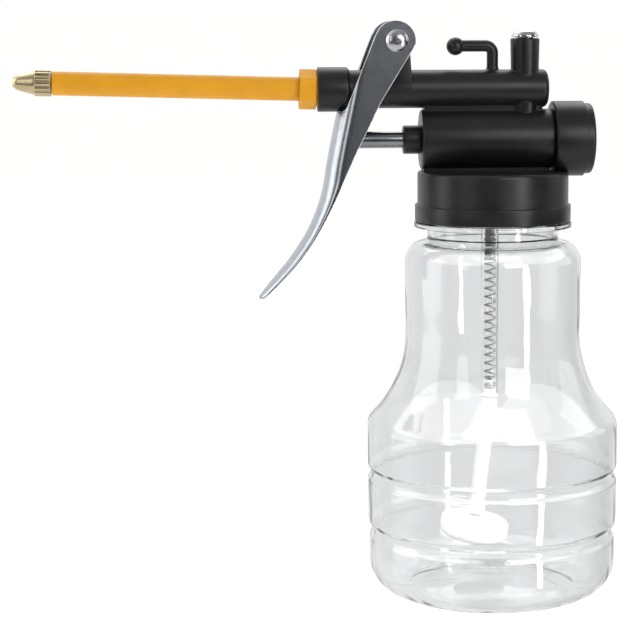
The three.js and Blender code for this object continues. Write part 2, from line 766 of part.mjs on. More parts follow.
function spoutNut() {
  const bore = TUBE_RADIUS + GAP;
  const hexagon = new THREE.CylinderGeometry(HEX_RADIUS, HEX_RADIUS, HEX_RIGHT - HEX_LEFT, 6)
    .rotateZ(Math.PI / 2)
    .translate((HEX_LEFT + HEX_RIGHT) / 2, 0, BARREL_AXIS);
  return carve(
    [hexagon, rodX(HEX_SPIGOT, HEX_RIGHT - 1, -44.2, BARREL_AXIS)],
    [rodX(bore, HEX_LEFT - 1, -40, BARREL_AXIS)],
  );
}

const spoutTube = () => ringX(TUBE_BORE, TUBE_RADIUS, TUBE_LEFT, TUBE_RIGHT, BARREL_AXIS);

const spoutWasher = () => ringX(OIL_PASSAGE + GAP, SOCKET_BORE - 0.4, -42.6, -41.75, BARREL_AXIS);

// The finger-turned collar: a bar with straight flutes round it.
function flutedCollar(x0, x1) {
  const shape = new THREE.Shape();
  const pointsPerFlute = 4;
  const count = TIP_FLUTES * pointsPerFlute;
  for (let i = 0; i < count; i += 1) {
    const angle = (2 * Math.PI * i) / count;
    const radius = TIP_RADIUS - 0.28 * (0.5 - 0.5 * Math.cos(TIP_FLUTES * angle));
    if (i === 0) shape.moveTo(radius, 0);
    else shape.lineTo(radius * Math.cos(angle), radius * Math.sin(angle));
  }
  shape.closePath();
  return new THREE.ExtrudeGeometry(shape, { depth: x1 - x0, bevelEnabled: false })
    .rotateY(Math.PI / 2)
    .translate(x0, 0, BARREL_AXIS);
}

function nozzleTip() {
  const collarRight = TUBE_LEFT - GAP;
  const cone = turnedAlongX([
    [0, TIP_LEFT],
    [1.1, TIP_LEFT],
    [1.75, TIP_LEFT + 0.5],
    [2.0, TIP_LEFT + 1.2],
    [3.1, TIP_COLLAR_LEFT],
    [3.1, TIP_COLLAR_LEFT + 0.6],
    [0, TIP_COLLAR_LEFT + 0.6],
  ], BARREL_AXIS, 24);
  const spigot = rodX(TUBE_BORE - GAP, collarRight - 0.5, collarRight + 6, BARREL_AXIS, 16);
  return carve(
    [flutedCollar(TIP_COLLAR_LEFT + 0.3, collarRight), cone, spigot],
    [rodX(ORIFICE, TIP_LEFT - 1, -110, BARREL_AXIS, 12)],
  );
}

// ---------------------------------------------------------------- the object

const oiler = new THREE.Group();
const spout = new THREE.Group();

function add(name, geometry, material, group = oiler) {
  const mesh = new THREE.Mesh(geometry, material);
  mesh.name = name;
  group.add(mesh);
}

add('bottle', bottle(), clear(0xf2f4f5, 0.25));
add('pump_head', pumpHead(), plastic(BLACK, 0.5));
add('neck_gasket', neckGasket(), plastic(0xd8d8d4, 0.7));
add('end_nut', endNut(), plastic(BLACK, 0.5));
add('end_nut_seal', endNutSeal(), plastic(0x111111, 0.8));
add('rod_gland', rodGland(), plastic(BLACK, 0.5));
add('rod_seal', rodSeal(), plastic(0x111111, 0.8));
add('plunger_rod', plungerRod(), metal(STEEL, 0.25));
add('piston', piston(), plastic(0xe9e7df, 0.5));
add('piston_cup', pistonCup(), plastic(0x111111, 0.8));
add('return_spring', returnSpring(), metal(STEEL, 0.3));
add('outlet_ball', outletBall(), metal(STEEL, 0.1));
add('outlet_spring', outletSpring(), metal(STEEL, 0.3));
add('valve_plug', valvePlug(), metal(0xd9dbde, 0.12));
add('trigger_lever', triggerLever(), metal(STEEL, 0.28));
add('pivot_rivet', pivotRivet(), metal(0xd9dbde, 0.12));
add('intake_tube', intakeTube(), clear(0xf2f4f5, 0.3));
add('intake_spring', intakeSpring(), metal(STEEL, 0.3));
add('intake_ball', intakeBall(), metal(STEEL, 0.1));
add('intake_seat', intakeSeat(), plastic(0xe8e8e4, 0.4));
add('suction_hose', suctionHose(), plastic(0xe6e7e4, 0.35));
add('suction_strainer', suctionStrainer(), plastic(0xf6f6f3, 0.5));
add('spout_nut', spoutNut(), plastic(YELLOW, 0.45), spout);
add('spout_tube', spoutTube(), plastic(YELLOW, 0.4), spout);
add('nozzle_tip', nozzleTip(), metal(0xb9a46a, 0.25), spout);
add('spout_washer', spoutWasher(), plastic(0x111111, 0.8), spout);

// The spout group leans about the middle of the socket's mouth.
const lean = new THREE.Matrix4().makeTranslation(SOCKET_LEFT, 0, BARREL_AXIS)
  .multiply(new THREE.Matrix4().makeRotationY(SPOUT_RISE))
  .multiply(new THREE.Matrix4().makeTranslation(-SOCKET_LEFT, 0, -BARREL_AXIS));
spout.applyMatrix4(lean);
oiler.add(spout);

// Origin at the bottom centre of the bounding box.
oiler.updateMatrixWorld(true);
const box = new THREE.Box3().setFromObject(oiler, true);
oiler.position.set(-(box.min.x + box.max.x) / 2, -(box.min.y + box.max.y) / 2, -box.min.z);

export default oiler;
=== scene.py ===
"""A hand-squeezed bottle oiler: clear bottle, black pump head, steel trigger lever, yellow spout.

Every length below is in millimetres, measured from the bottle's axis and the surface it stands on,
with the spout towards -X. row() turns such a point into the frame's metres.
"""

from math import cos, degrees, exp, pi, radians, sin, sqrt

import bmesh
import bpy
from mathutils import Matrix, Vector


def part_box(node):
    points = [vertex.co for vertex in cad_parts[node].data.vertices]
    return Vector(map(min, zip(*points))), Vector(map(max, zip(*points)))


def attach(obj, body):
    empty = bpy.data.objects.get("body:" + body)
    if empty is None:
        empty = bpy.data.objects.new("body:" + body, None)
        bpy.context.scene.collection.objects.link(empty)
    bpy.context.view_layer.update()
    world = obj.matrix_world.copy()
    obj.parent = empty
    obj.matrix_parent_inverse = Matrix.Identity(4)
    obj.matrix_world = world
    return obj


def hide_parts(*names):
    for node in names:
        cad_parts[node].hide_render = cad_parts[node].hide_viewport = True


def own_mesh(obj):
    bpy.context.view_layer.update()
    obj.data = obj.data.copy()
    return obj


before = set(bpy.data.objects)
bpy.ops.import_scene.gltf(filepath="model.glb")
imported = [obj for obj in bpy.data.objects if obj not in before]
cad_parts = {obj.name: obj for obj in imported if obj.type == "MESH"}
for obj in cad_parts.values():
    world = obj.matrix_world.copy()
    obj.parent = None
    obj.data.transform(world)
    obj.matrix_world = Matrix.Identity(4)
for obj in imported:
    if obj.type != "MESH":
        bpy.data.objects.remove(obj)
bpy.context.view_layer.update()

MM = 0.001
bottle_low, bottle_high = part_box("bottle")
AXIS_X = (bottle_low.x + bottle_high.x) / 2


def row(x, y, z):
    return Vector((AXIS_X + x * MM, y * MM, z * MM))


def span(node, axis):
    """Where a CAD node starts and ends along X, Y or Z, in this script's millimetres."""
    low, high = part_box(node)
    i = "XYZ".index(axis)
    shift = AXIS_X if axis == "X" else 0.0
    return (low[i] - shift) / MM, (high[i] - shift) / MM


def middle(node, axis):
    start, end = span(node, axis)
    return (start + end) / 2


def half(node, axis):
    start, end = span(node, axis)
    return (end - start) / 2


# -------- places taken from the frame

BOTTLE_RADIUS = half("bottle", "Y")
RIM_TOP = span("bottle", "Z")[1]
PUMP_Z = middle("end_nut", "Z")
NUT_LEFT, NUT_RIGHT = span("end_nut", "X")
NUT_RADIUS = half("end_nut", "Y")
GLAND_LEFT = span("rod_gland", "X")[0]
GLAND_RADIUS = half("rod_gland", "Y")
ROD_LEFT, ROD_RIGHT = span("plunger_rod", "X")
TOWER_X = middle("valve_plug", "X")
PLUG_TOP = span("valve_plug", "Z")[1]
PLUG_RADIUS = half("valve_plug", "Y")
PIVOT_X, PIVOT_Z = middle("pivot_rivet", "X"), middle("pivot_rivet", "Z")
RIVET_END = span("pivot_rivet", "Y")[1]
RIVET_HEAD = half("pivot_rivet", "X")
LEVER_HALF = half("trigger_lever", "Y")
INTAKE_X = middle("intake_tube", "X")
TUBE_BOTTOM, TUBE_TOP = span("intake_tube", "Z")
TUBE_RADIUS = half("intake_tube", "Y")
BALL_Z = middle("intake_ball", "Z")
BALL_RADIUS = half("intake_ball", "Y")
SPRING_BOTTOM, SPRING_TOP = span("intake_spring", "Z")
SEAT_BOTTOM, SEAT_TOP = span("intake_seat", "Z")

# -------- driving dimensions
# A name that says only which part it is, such as NECK or BARREL, is its radius.

GAP = 0.25  # clearance between separate pieces

# Bottle
BOTTLE_WALL = 0.9
BASE_RING = 25.5  # flat ring that the bottle stands on
CORNER = 9.0  # rounding from the base up to the lower band
MIDDLE_BAND = 34.9
WAIST = 24.3
NECK = 18.0
RIM = 17.5
RING = 21.8  # transfer ring under the cap
RING_BOTTOM, RING_TOP = 102.4, 103.8
SEAM_ANGLE = radians(-97)
SEAM_HEIGHT, SEAM_WIDTH = 0.08, 0.3  # the second in degrees
THREAD_TURNS, THREAD_PITCH, THREAD = 1.4, 4.0, 0.75

# Screw cap
CAP, CAP_SKIRT = 20.8, 21.5
CAP_BOTTOM, CAP_STEP, CAP_TOP = 104.1, 108.6, 117.8
CAP_BORE, CAP_CEILING = 18.5, 114.6

# Pump cylinder, lying along X
PUMP_RADIUS, PUMP_LEFT = 8.2, -20.1
SPIGOT, SPIGOT_RIGHT = 7.6, 22.9
SADDLE_HALF, WEB_HALF = 3.2, 2.6
ROD = 2.3
TAIL = 1.5  # thin end of the rod, through the piston and its cup
PUMP_AXIS = (0, 0, PUMP_Z)

# Outlet barrel above it, with the spout's socket, the valve tower, the hook and the lever's lug
BARREL_Z, BARREL, BARREL_RIGHT = 140.25, 5.2, 14.9
BARREL_AXIS = (0, 0, BARREL_Z)
SOCKET, SOCKET_LEFT, SOCKET_RIGHT = 6.05, -48.25, -39.65
TOWER, TOWER_TOP = 4.0, 153.9
HOOK_X, HOOK_ARM, HOOK = -0.25, 151.85, 1.57
HOOK_BALL_X, HOOK_BALL = -10.45, 2.45
LUG_HALF, LUG_ROUND = 5.2, 3.6
BOSS, BOSS_HALF = 3.3, 6.0
NIPPLE, NIPPLE_BOTTOM = 1.4, 95.2

# Trigger lever
EAR_X, EAR_Z, EAR = -27.45, 153.3, 5.5
SHEET = 1.0  # thickness of the steel
NOSE = 4.8  # rounding of the channel's front
CUT_EDGE = 0.38  # rounding of the cut edges

# Spout
SPOUT_RISE = radians(1.65)
HEX_LEFT, HEX_RIGHT, HEX = -53.2, -48.55, 5.6
SPOUT, SPOUT_LEFT, SPOUT_RIGHT, SPOUT_BORE = 3.2, -119.4, -42.9, 1.65
NUT_SPIGOT, NUT_SPIGOT_RIGHT = 4.5, -44.2
WASHER, WASHER_BORE, WASHER_LEFT, WASHER_RIGHT = 4.4, 1.85, -42.58, -41.78
TIP_COLLAR, TIP_LEFT, TIP = -124.3, -129.9, 3.57
TIP_CONE, TIP_BORE, TIP_ORIFICE = 3.15, 1.4, 0.6
FLUTES, FLUTE_DEPTH = 14, 0.34

# Suction line
STRAINER = Vector((-4.9, 0.0, 17.4))
STRAINER_RADIUS, STRAINER_HEIGHT = 9.6, 6.4
STRAINER_TILT = radians(9)
STRAINER_SLOTS, SLOT_DEPTH = 20, 0.28
HOSE = 2.15

# -------- camera

CAMERA = Vector((-0.0271, -0.5150, 0.1547))
YAW, PITCH, ROLL = radians(4.92), radians(7.62), radians(-0.2)
LENS, SENSOR = 106.1, 36
SHIFT_X, SHIFT_Y = -0.10, -0.05


def make_camera():
    forward = Vector((sin(YAW) * cos(PITCH), cos(YAW) * cos(PITCH), -sin(PITCH)))
    right = Vector((cos(YAW), -sin(YAW), 0))
    up = right.cross(forward)
    rolled_right = cos(ROLL) * right + sin(ROLL) * up
    rolled_up = -sin(ROLL) * right + cos(ROLL) * up
    data = bpy.data.cameras.new("camera")
    data.sensor_width = SENSOR
    data.lens = LENS
    data.shift_x, data.shift_y = SHIFT_X, SHIFT_Y
    camera = bpy.data.objects.new("camera", data)
    bpy.context.scene.collection.objects.link(camera)
    turn = Matrix((rolled_right, rolled_up, -forward)).transposed().to_4x4()
    camera.matrix_world = Matrix.Translation(CAMERA) @ turn
    bpy.context.scene.camera = camera


make_camera()

# -------- outlines and shells


def bezier(a, b, c, d, steps=10):
    """Points of a cubic curve, without its first point."""
    a, b, c, d = (Vector(p) for p in (a, b, c, d))
    points = []
    for i in range(1, steps + 1):
        t = i / steps
        s = 1 - t
        points.append(a * s ** 3 + b * 3 * s * s * t + c * 3 * s * t * t + d * t ** 3)
    return points


def arc(centre, radii, start, end, steps=12):
    """Points round an ellipse, angles in degrees."""
    points = []
    for i in range(steps + 1):
        angle = radians(start + (end - start) * i / steps)
        points.append(Vector((centre[0] + radii[0] * cos(angle), centre[1] + radii[1] * sin(angle))))
    return points


def rounded(corners, default=0.3, loop=False, steps=4):
    """An outline with rounded corners. A corner is (radius, height) or (radius, height, rounding)."""
    points = []
    count = len(corners)
    for i, corner in enumerate(corners):
        p = Vector(corner[:2])
        rounding = corner[2] if len(corner) > 2 else default
        if rounding == 0 or (not loop and i in (0, count - 1)):
            points.append(p)
            continue
        before = Vector(corners[i - 1][:2]) - p
        after = Vector(corners[(i + 1) % count][:2]) - p
        reach = min(rounding, before.length * 0.48, after.length * 0.48)
        start = p + before.normalized() * reach
        end = p + after.normalized() * reach
        for k in range(steps + 1):
            t = k / steps
            points.append(start * (1 - t) ** 2 + p * 2 * t * (1 - t) + end * t ** 2)
    return points


def turned(outline, axis="Z", at=(0, 0, 0), segments=96, loop=False, angles=None, swell=None):
    """A shell from an outline of (radius, height) turned about an axis through the point at.
    swell gives what is added to the radius at an angle and height."""
    angles = angles or [2 * pi * i / segments for i in range(segments)]
    count = len(outline)
    vertices = []
    for angle in angles:
        c, s = cos(angle), sin(angle)
        for r, h in outline:
            if swell and r > 0:
                r = r + swell(angle, r, h)
            if axis == "Z":
                offset = (r * c, r * s, h)
            elif axis == "X":
                offset = (h, r * c, r * s)
            else:
                offset = (r * s, h, r * c)
            vertices.append(tuple(a + b for a, b in zip(at, offset)))
    faces = []
    around = len(angles)
    for i in range(around):
        j = (i + 1) % around
        for k in range(count if loop else count - 1):
            n = (k + 1) % count
            faces.append((i * count + k, j * count + k, j * count + n, i * count + n))
    return vertices, faces


def swept(points, radius, sides):
    """A round bar along a line of points."""
    points = [Vector(p) for p in points]
    vertices = []
    side = Vector((0, 1, 0))
    for i, p in enumerate(points):
        along = (points[min(i + 1, len(points) - 1)] - points[max(i - 1, 0)]).normalized()
        side = (side - along * side.dot(along)).normalized()
        other = along.cross(side)
        for k in range(sides):
            angle = 2 * pi * k / sides
            offset = side * cos(angle) + other * sin(angle)
            vertices.append(tuple(p + offset * radius))
    faces = []
    for i in range(len(points) - 1):
        for k in range(sides):
            n = (k + 1) % sides
            faces.append((i * sides + k, i * sides + n, (i + 1) * sides + n, (i + 1) * sides + k))
    last = (len(points) - 1) * sides
    faces.append(tuple(reversed(range(sides))))
    faces.append(tuple(last + k for k in range(sides)))
    return vertices, faces


def prism(outline, y0, y1, edge=0.35, steps=3):
    """A plate with its outline in the XZ plane and rounded rims, from y0 to y1."""
    count = len(outline)
    layers = []
    for k in range(steps + 1):
        angle = pi / 2 * k / steps
        layers.append((y0 + edge * (1 - sin(angle)), edge * (1 - cos(angle))))
    layers = layers[::-1] + [(y0 + y1 - y, inset) for y, inset in layers]
    vertices = []
    for y, inset in layers:
        for i, p in enumerate(outline):
            along = (outline[(i + 1) % count] - outline[i - 1]).normalized()
            inward = Vector((-along.y, along.x))
            q = p + inward * inset
            vertices.append((q.x, y, q.y))
    faces = []
    for j in range(len(layers) - 1):
        for i in range(count):
            n = (i + 1) % count
            faces.append((j * count + i, j * count + n, (j + 1) * count + n, (j + 1) * count + i))
    last = (len(layers) - 1) * count
    faces.append(tuple(reversed(range(count))))
    faces.append(tuple(last + i for i in range(count)))
    return vertices, faces


def moved(shell, matrix):
    vertices, faces = shell
    return [tuple(matrix @ Vector(v)) for v in vertices], faces


def piece(name, shells, material, body, node, sharp=40):
    """Makes one object from shells in this script's millimetres, and hangs it on its CAD body, in
    place of a CAD node."""
    bm = bmesh.new()
    for vertices, faces in shells:
        made = [bm.verts.new(row(*v)) for v in vertices]
        for face in faces:
            bm.faces.new([made[i] for i in face])
    bmesh.ops.remove_doubles(bm, verts=bm.verts, dist=2e-7)
    bmesh.ops.dissolve_degenerate(bm, edges=bm.edges, dist=1e-8)
    bmesh.ops.recalc_face_normals(bm, faces=bm.faces)
    mesh = bpy.data.meshes.new(name)
    bm.to_mesh(mesh)
    bm.free()
    mesh.shade_smooth()
    mesh.set_sharp_from_angle(angle=radians(sharp))
    mesh.materials.append(material)
    obj = bpy.data.objects.new(name, mesh)
    bpy.context.scene.collection.objects.link(obj)
    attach(obj, body)
    if node:
        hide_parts(node)
    return obj


# -------- materials


class Nodes:
    """Short names for building a shader tree."""

    def __init__(self, tree):
        self.tree = tree

    def add(self, kind, **settings):
        node = self.tree.nodes.new(kind)
        for name, value in settings.items():
            setattr(node, name, value)
        return node

    def link(self, source, target):
        self.tree.links.new(source, target)

    def ramp(self, value, start, end, low=0.0, high=1.0, shape="SMOOTHSTEP"):
        """Turns start to end into low to high."""
        node = self.add("ShaderNodeMapRange", interpolation_type=shape)
        self.link(value, node.inputs["Value"])
        for socket, number in (("From Min", start), ("From Max", end), ("To Min", low), ("To Max", high)):
            node.inputs[socket].default_value = number
        return node.outputs["Result"]

    def sum(self, kind, first, second):
        node = self.add("ShaderNodeMath", operation=kind)
        self.link(first, node.inputs[0])
        self.link(second, node.inputs[1])
        return node.outputs[0]

    def glow(self, kind, colour, strength):
        """An Emission or Background shader. strength is a number or a socket."""
        node = self.add(kind)
        node.inputs["Color"].default_value = (*colour, 1)
        if isinstance(strength, float):
            node.inputs["Strength"].default_value = strength
        else:
            self.link(strength, node.inputs["Strength"])
        return node.outputs[0]

    def choose(self, share, first, second):
        node = self.add("ShaderNodeMixShader")
        self.link(share, node.inputs["Fac"])
        self.link(first, node.inputs[1])
        self.link(second, node.inputs[2])
        return node.outputs[0]


class Material(Nodes):
    """A node material built round one Principled shader."""

    def __init__(self, name, **sockets):
        self.material = bpy.data.materials.new(name)
        self.material.use_nodes = True
        super().__init__(self.material.node_tree)
        self.shader = self.tree.nodes["Principled BSDF"]
        self.place = self.add("ShaderNodeTexCoord").outputs["Object"]
        for socket, value in sockets.items():
            self.shader.inputs[socket.replace("_", " ")].default_value = value

    def noise(self, size, detail, scale=(1, 1, 1)):
        """Noise with features of about this size in millimetres, spread over 0 to 1."""
        node = self.add("ShaderNodeTexNoise")
        mapping = self.add("ShaderNodeMapping")
        self.link(self.place, mapping.inputs["Vector"])
        mapping.inputs["Scale"].default_value = scale
        self.link(mapping.outputs["Vector"], node.inputs["Vector"])
        node.inputs["Scale"].default_value = 1 / (size * MM)
        node.inputs["Detail"].default_value = detail
        return self.ramp(node.outputs["Fac"], 0.35, 0.65, shape="LINEAR")

    def between(self, factor, low, high, socket):
        self.link(self.ramp(factor, 0.0, 1.0, low, high, "LINEAR"), self.shader.inputs[socket])

    def colours(self, factor, first, second):
        node = self.add("ShaderNodeMix", data_type="RGBA")
        self.link(factor, node.inputs["Factor"])
        node.inputs["A"].default_value = (*first, 1)
        node.inputs["B"].default_value = (*second, 1)
        self.link(node.outputs["Result"], self.shader.inputs["Base Color"])
        return node.outputs["Result"]

    def bump(self, height, depth, strength=1.0, rounding=0.0):
        """Bumps of this depth in millimetres, over edges softened by rounding."""
        node = self.add("ShaderNodeBump")
        node.inputs["Distance"].default_value = depth * MM
        node.inputs["Strength"].default_value = strength
        self.link(height, node.inputs["Height"])
        if rounding:
            bevel = self.add("ShaderNodeBevel", samples=6)
            bevel.inputs["Radius"].default_value = rounding * MM
            self.link(bevel.outputs["Normal"], node.inputs["Normal"])
        self.link(node.outputs["Normal"], self.shader.inputs["Normal"])


def scaled(colour, share):
    return tuple(c * share for c in colour)


def black_plastic(name, rounding=0.0, tone=1.0):
    """Moulded plastic with a fine matt grain. tone makes it paler."""
    m = Material(name, Specular_IOR_Level=0.46)
    broad = m.noise(9, 2)
    grain = m.noise(0.5, 3)
    m.colours(broad, scaled((0.0055, 0.0055, 0.0059), tone), scaled((0.0075, 0.0075, 0.008), tone))
    m.between(broad, 0.32, 0.40, "Roughness")
    m.bump(grain, 0.006, 0.6, rounding)
    return m.material


def rubber(name, colour):
    m = Material(name)
    grain = m.noise(0.4, 3)
    m.colours(grain, colour, scaled(colour, 0.8))
    m.between(grain, 0.6, 0.75, "Roughness")
    m.bump(grain, 0.01)
    return m.material


def steel(name, colour, roughness, stretch=(1, 1, 1), depth=0.004):
    """Bright metal with fine scratches. stretch draws them out, depth is theirs in millimetres."""
    m = Material(name, Metallic=1.0)
    fine = m.noise(0.35, 4, stretch)
    broad = m.noise(5, 3)
    m.colours(broad, colour, scaled(colour, 0.86))
    m.between(fine, roughness * 0.8, roughness * 1.25, "Roughness")
    m.bump(fine, depth)
    return m.material


def pressed_steel():
    """Satin sheet steel, a little mottled on its faces, with a highlight painted along its cut edges."""
    m = Material("pressed_steel", Metallic=1.0)
    cloudy = m.noise(2.2, 4)
    speckle = m.noise(0.9, 3)
    fine = m.noise(0.5, 3)
    face = m.colours(cloudy, (0.52, 0.545, 0.585), (0.465, 0.487, 0.525))
    # Painted highlight: along the rounded cut edges the colour turns near-white and less metallic, standing
    # in for the bright lines they reflect.
    bevel = m.add("ShaderNodeBevel", samples=12)
    bevel.inputs["Radius"].default_value = 0.42 * MM
    surface = m.add("ShaderNodeNewGeometry")
    agree = m.add("ShaderNodeVectorMath", operation="DOT_PRODUCT")
    m.link(bevel.outputs["Normal"], agree.inputs[0])
    m.link(surface.outputs["Normal"], agree.inputs[1])
    edge = m.ramp(agree.outputs["Value"], 0.95, 0.88)
    painted_edge_highlight = m.add("ShaderNodeMix", data_type="RGBA")
    m.link(edge, painted_edge_highlight.inputs["Factor"])
    m.link(face, painted_edge_highlight.inputs["A"])
    painted_edge_highlight.inputs["B"].default_value = (0.97, 0.97, 0.97, 1)
    m.link(painted_edge_highlight.outputs["Result"], m.shader.inputs["Base Color"])
    m.between(edge, 1.0, 0.15, "Metallic")
    m.between(speckle, 0.24, 0.27, "Roughness")
    m.bump(fine, 0.0007)
    return m.material


def clear_plastic(name, colour, roughness, waves):
    """See-through plastic. waves is how deep its unevenness is, in millimetres."""
    m = Material(name, Transmission_Weight=1.0, IOR=1.5, Base_Color=(*colour, 1))
    uneven = m.noise(7, 1, (1, 1, 0.35))
    m.between(uneven, roughness * 0.6, roughness, "Roughness")
    m.bump(uneven, waves)
    return m.material


def milky_plastic(name, colour, see_through):
    m = Material(name, Transmission_Weight=see_through, IOR=1.45, Subsurface_Weight=0.35)
    m.shader.inputs["Subsurface Radius"].default_value = (0.002, 0.002, 0.002)
    cloudy = m.noise(1.6, 2, (1, 1, 0.2))
    m.colours(cloudy, colour, scaled(colour, 0.95))
    m.between(cloudy, 0.28, 0.4, "Roughness")
    m.bump(cloudy, 0.01)
    return m.material


def yellow_plastic(name, along_x):
    m = Material(name, Specular_IOR_Level=0.22, Subsurface_Weight=0.12)
    m.shader.inputs["Subsurface Radius"].default_value = (0.003, 0.0015, 0.0006)
    streaks = m.noise(1.0, 3, (0.05 if along_x else 1, 1, 1))
    cloudy = m.noise(6, 2)
    m.colours(cloudy, (0.56, 0.255, 0.009), (0.51, 0.235, 0.008))
    m.between(streaks, 0.34, 0.46, "Roughness")
    m.bump(streaks, 0.03, 0.8)
    return m.material


def brass():
    m = Material("brass", Metallic=1.0)
    rings = m.noise(0.25, 3, (1, 0.05, 0.05))
    broad = m.noise(3, 2)
    m.colours(broad, (0.79, 0.66, 0.41), (0.72, 0.58, 0.33))
    m.between(rings, 0.26, 0.34, "Roughness")
    m.bump(rings, 0.001)
    return m.material


head_black = black_plastic("black_plastic_head", rounding=0.45)
part_black = black_plastic("black_plastic_parts")
cap_black = black_plastic("black_plastic_cap", rounding=0.3, tone=1.35)
seal_rubber = rubber("seal_rubber", (0.012, 0.012, 0.012))
gasket_rubber = rubber("gasket_rubber", (0.62, 0.62, 0.59))
rod_steel = steel("drawn_steel", (0.36, 0.37, 0.39), 0.2, (0.04, 1, 1), depth=0.001)
spring_steel = steel("spring_steel", (0.26, 0.265, 0.28), 0.22)
chrome = steel("chrome", (0.80, 0.80, 0.81), 0.11, depth=0.0004)
rivet_steel = steel("rivet_steel", (0.72, 0.72, 0.74), 0.24, depth=0.001)
lever_steel = pressed_steel()
clear_bottle = clear_plastic("clear_bottle", (0.94, 0.943, 0.944), roughness=0.055, waves=0.05)
clear_tube = clear_plastic("clear_tube", (0.97, 0.972, 0.97), roughness=0.02, waves=0.008)
milky_hose = milky_plastic("milky_hose", (0.90, 0.90, 0.895), 0.22)
white_plastic = milky_plastic("white_plastic", (0.94, 0.94, 0.935), 0.0)
yellow_tube = yellow_plastic("yellow_tube", along_x=True)
yellow_nut = yellow_plastic("yellow_nut", along_x=False)
brass_metal = brass()

# -------- suction hose: the one free cord

HOSE_ROUTE = [
    (-0.7, 0, 54.35),
    (-0.75, 0, 51),
    (-1.2, 0, 46.5),
    (-2.0, 0, 41),
    (-2.8, 0, 35.5),
    (-3.5, 0, 30),
    (-4.0, 0, 25.5),
    (-4.3, 0, 21.4),
]


def smooth_line(points, steps):
    """A Catmull-Rom curve through points, with this many steps in each stretch."""
    points = [Vector(p) for p in points]
    ends = [2 * points[0] - points[1], *points, 2 * points[-1] - points[-2]]
    line = [points[0]]
    for i in range(1, len(ends) - 2):
        a, b, c, d = ends[i - 1 : i + 3]
        for k in range(1, steps + 1):
            t = k / steps
            line.append(0.5 * (2 * b + (c - a) * t + (2 * a - 5 * b + 4 * c - d) * t * t
                               + (3 * b - a - 3 * c + d) * t ** 3))
    return line


hose_line = smooth_line(HOSE_ROUTE, 4)
hose = piece("suction_hose_tube", [swept(hose_line, HOSE, 28)], milky_hose, "pump",
             "suction_hose")


def strainer_shells():
    """A round filter cup: a body with slots round its wall, and a socket for the hose."""
    top = STRAINER_HEIGHT / 2
    body = rounded([
        (0, -top), (STRAINER_RADIUS - 1.4, -top, 1.2), (STRAINER_RADIUS, -top + 1.6, 1.4),
        (STRAINER_RADIUS, top - 1.2, 0.9), (STRAINER_RADIUS - 1.6, top, 1.2),
        (5.4, top, 0.4), (5.0, top - 0.5, 0.3), (3.6, top - 0.5, 0.3), (3.3, top, 0.3), (0, top),
    ], steps=5)

    def slotted(angle, r, h):
        depth = SLOT_DEPTH if r > STRAINER_RADIUS - 1.0 and abs(h) < top - 1.4 else 0.0
        return -depth * max(0.0, cos(STRAINER_SLOTS * angle)) ** 0.5

    tilt = Matrix.Translation(STRAINER) @ Matrix.Rotation(STRAINER_TILT, 4, "Y")
    return [moved(turned(body, segments=160, swell=slotted), tilt)]


strainer = piece("suction_strainer_cup", strainer_shells(), white_plastic, "pump",
                 "suction_strainer")

# -------- bottle


def rolled_groove(outline, centre, half_width, bottom, below, above):
    """Adds a groove to an outline. bottom is its least radius, below and above those beside it."""
    ease = half_width / 2
    outline.append(Vector((below, centre - half_width)))
    outline += bezier((below, centre - half_width), (below, centre - ease), (bottom, centre - ease),
                      (bottom, centre))
    outline += bezier((bottom, centre), (bottom, centre + ease), (above, centre + ease),
                      (above, centre + half_width))


def bottle_body():
    """The outside of the blown body, from the middle of its base to the foot of the neck."""
    shoulder, shoulder_z = 4.5, 46.9
    outline = [Vector((0, 4.6)), Vector((1.2, 4.55)), Vector((1.7, 4.2))]
    outline += bezier((1.7, 4.2), (13, 4.2), (20, 2.6), (22.9, 0.15), 14)
    outline += [Vector((23.5, 0)), Vector((BASE_RING, 0))]
    outline += arc((BASE_RING, CORNER), (CORNER, CORNER), -90, 0, 14)[1:]
    rolled_groove(outline, 17.75, 3.0, 33.7, BASE_RING + CORNER, MIDDLE_BAND)
    rolled_groove(outline, 33.95, 2.5, 33.95, MIDDLE_BAND, BOTTLE_RADIUS)
    outline += arc((BOTTLE_RADIUS - shoulder, shoulder_z), (shoulder, shoulder), 0, 45, 8)
    outline += bezier(outline[-1], (31.4, 52.4), (29.1, 55.6), (27.4, 59.4), 12)
    outline += bezier((27.4, 59.4), (25.6, 63.4), (24.4, 67.8), (WAIST, 73), 12)
    outline += bezier((WAIST, 73), (WAIST, 79), (24.5, 86), (24.5, 92.5), 8)
    outline += arc((19.0, 92.5), (5.5, 6.0), 0, 79, 14)[1:]
    outline += bezier(outline[-1], (18.3, 98.55), (NECK, 99.2), (NECK, 100.2), 6)
    return outline


def inset(points, distance):
    """An outline moved in by the wall's thickness."""
    inner = []
    for i, p in enumerate(points):
        along = (points[min(i + 1, len(points) - 1)] - points[max(i - 1, 0)]).normalized()
        inner.append(Vector((max(p.x - along.y * distance, 0), p.y + along.x * distance)))
    return inner


def thread_line():
    """The middle of the neck's thread, which runs out into the neck at both ends."""
    line = []
    top, steps = RIM_TOP - 1.9, 130
    for i in range(steps + 1):
        t = i / steps
        angle = 2 * pi * THREAD_TURNS * t
        depth = min(1, 12 * t, 12 * (1 - t))
        r = RIM - 0.45 + 0.5 * depth
        line.append((r * cos(angle), r * sin(angle), top - THREAD_PITCH * THREAD_TURNS * t))
    return line


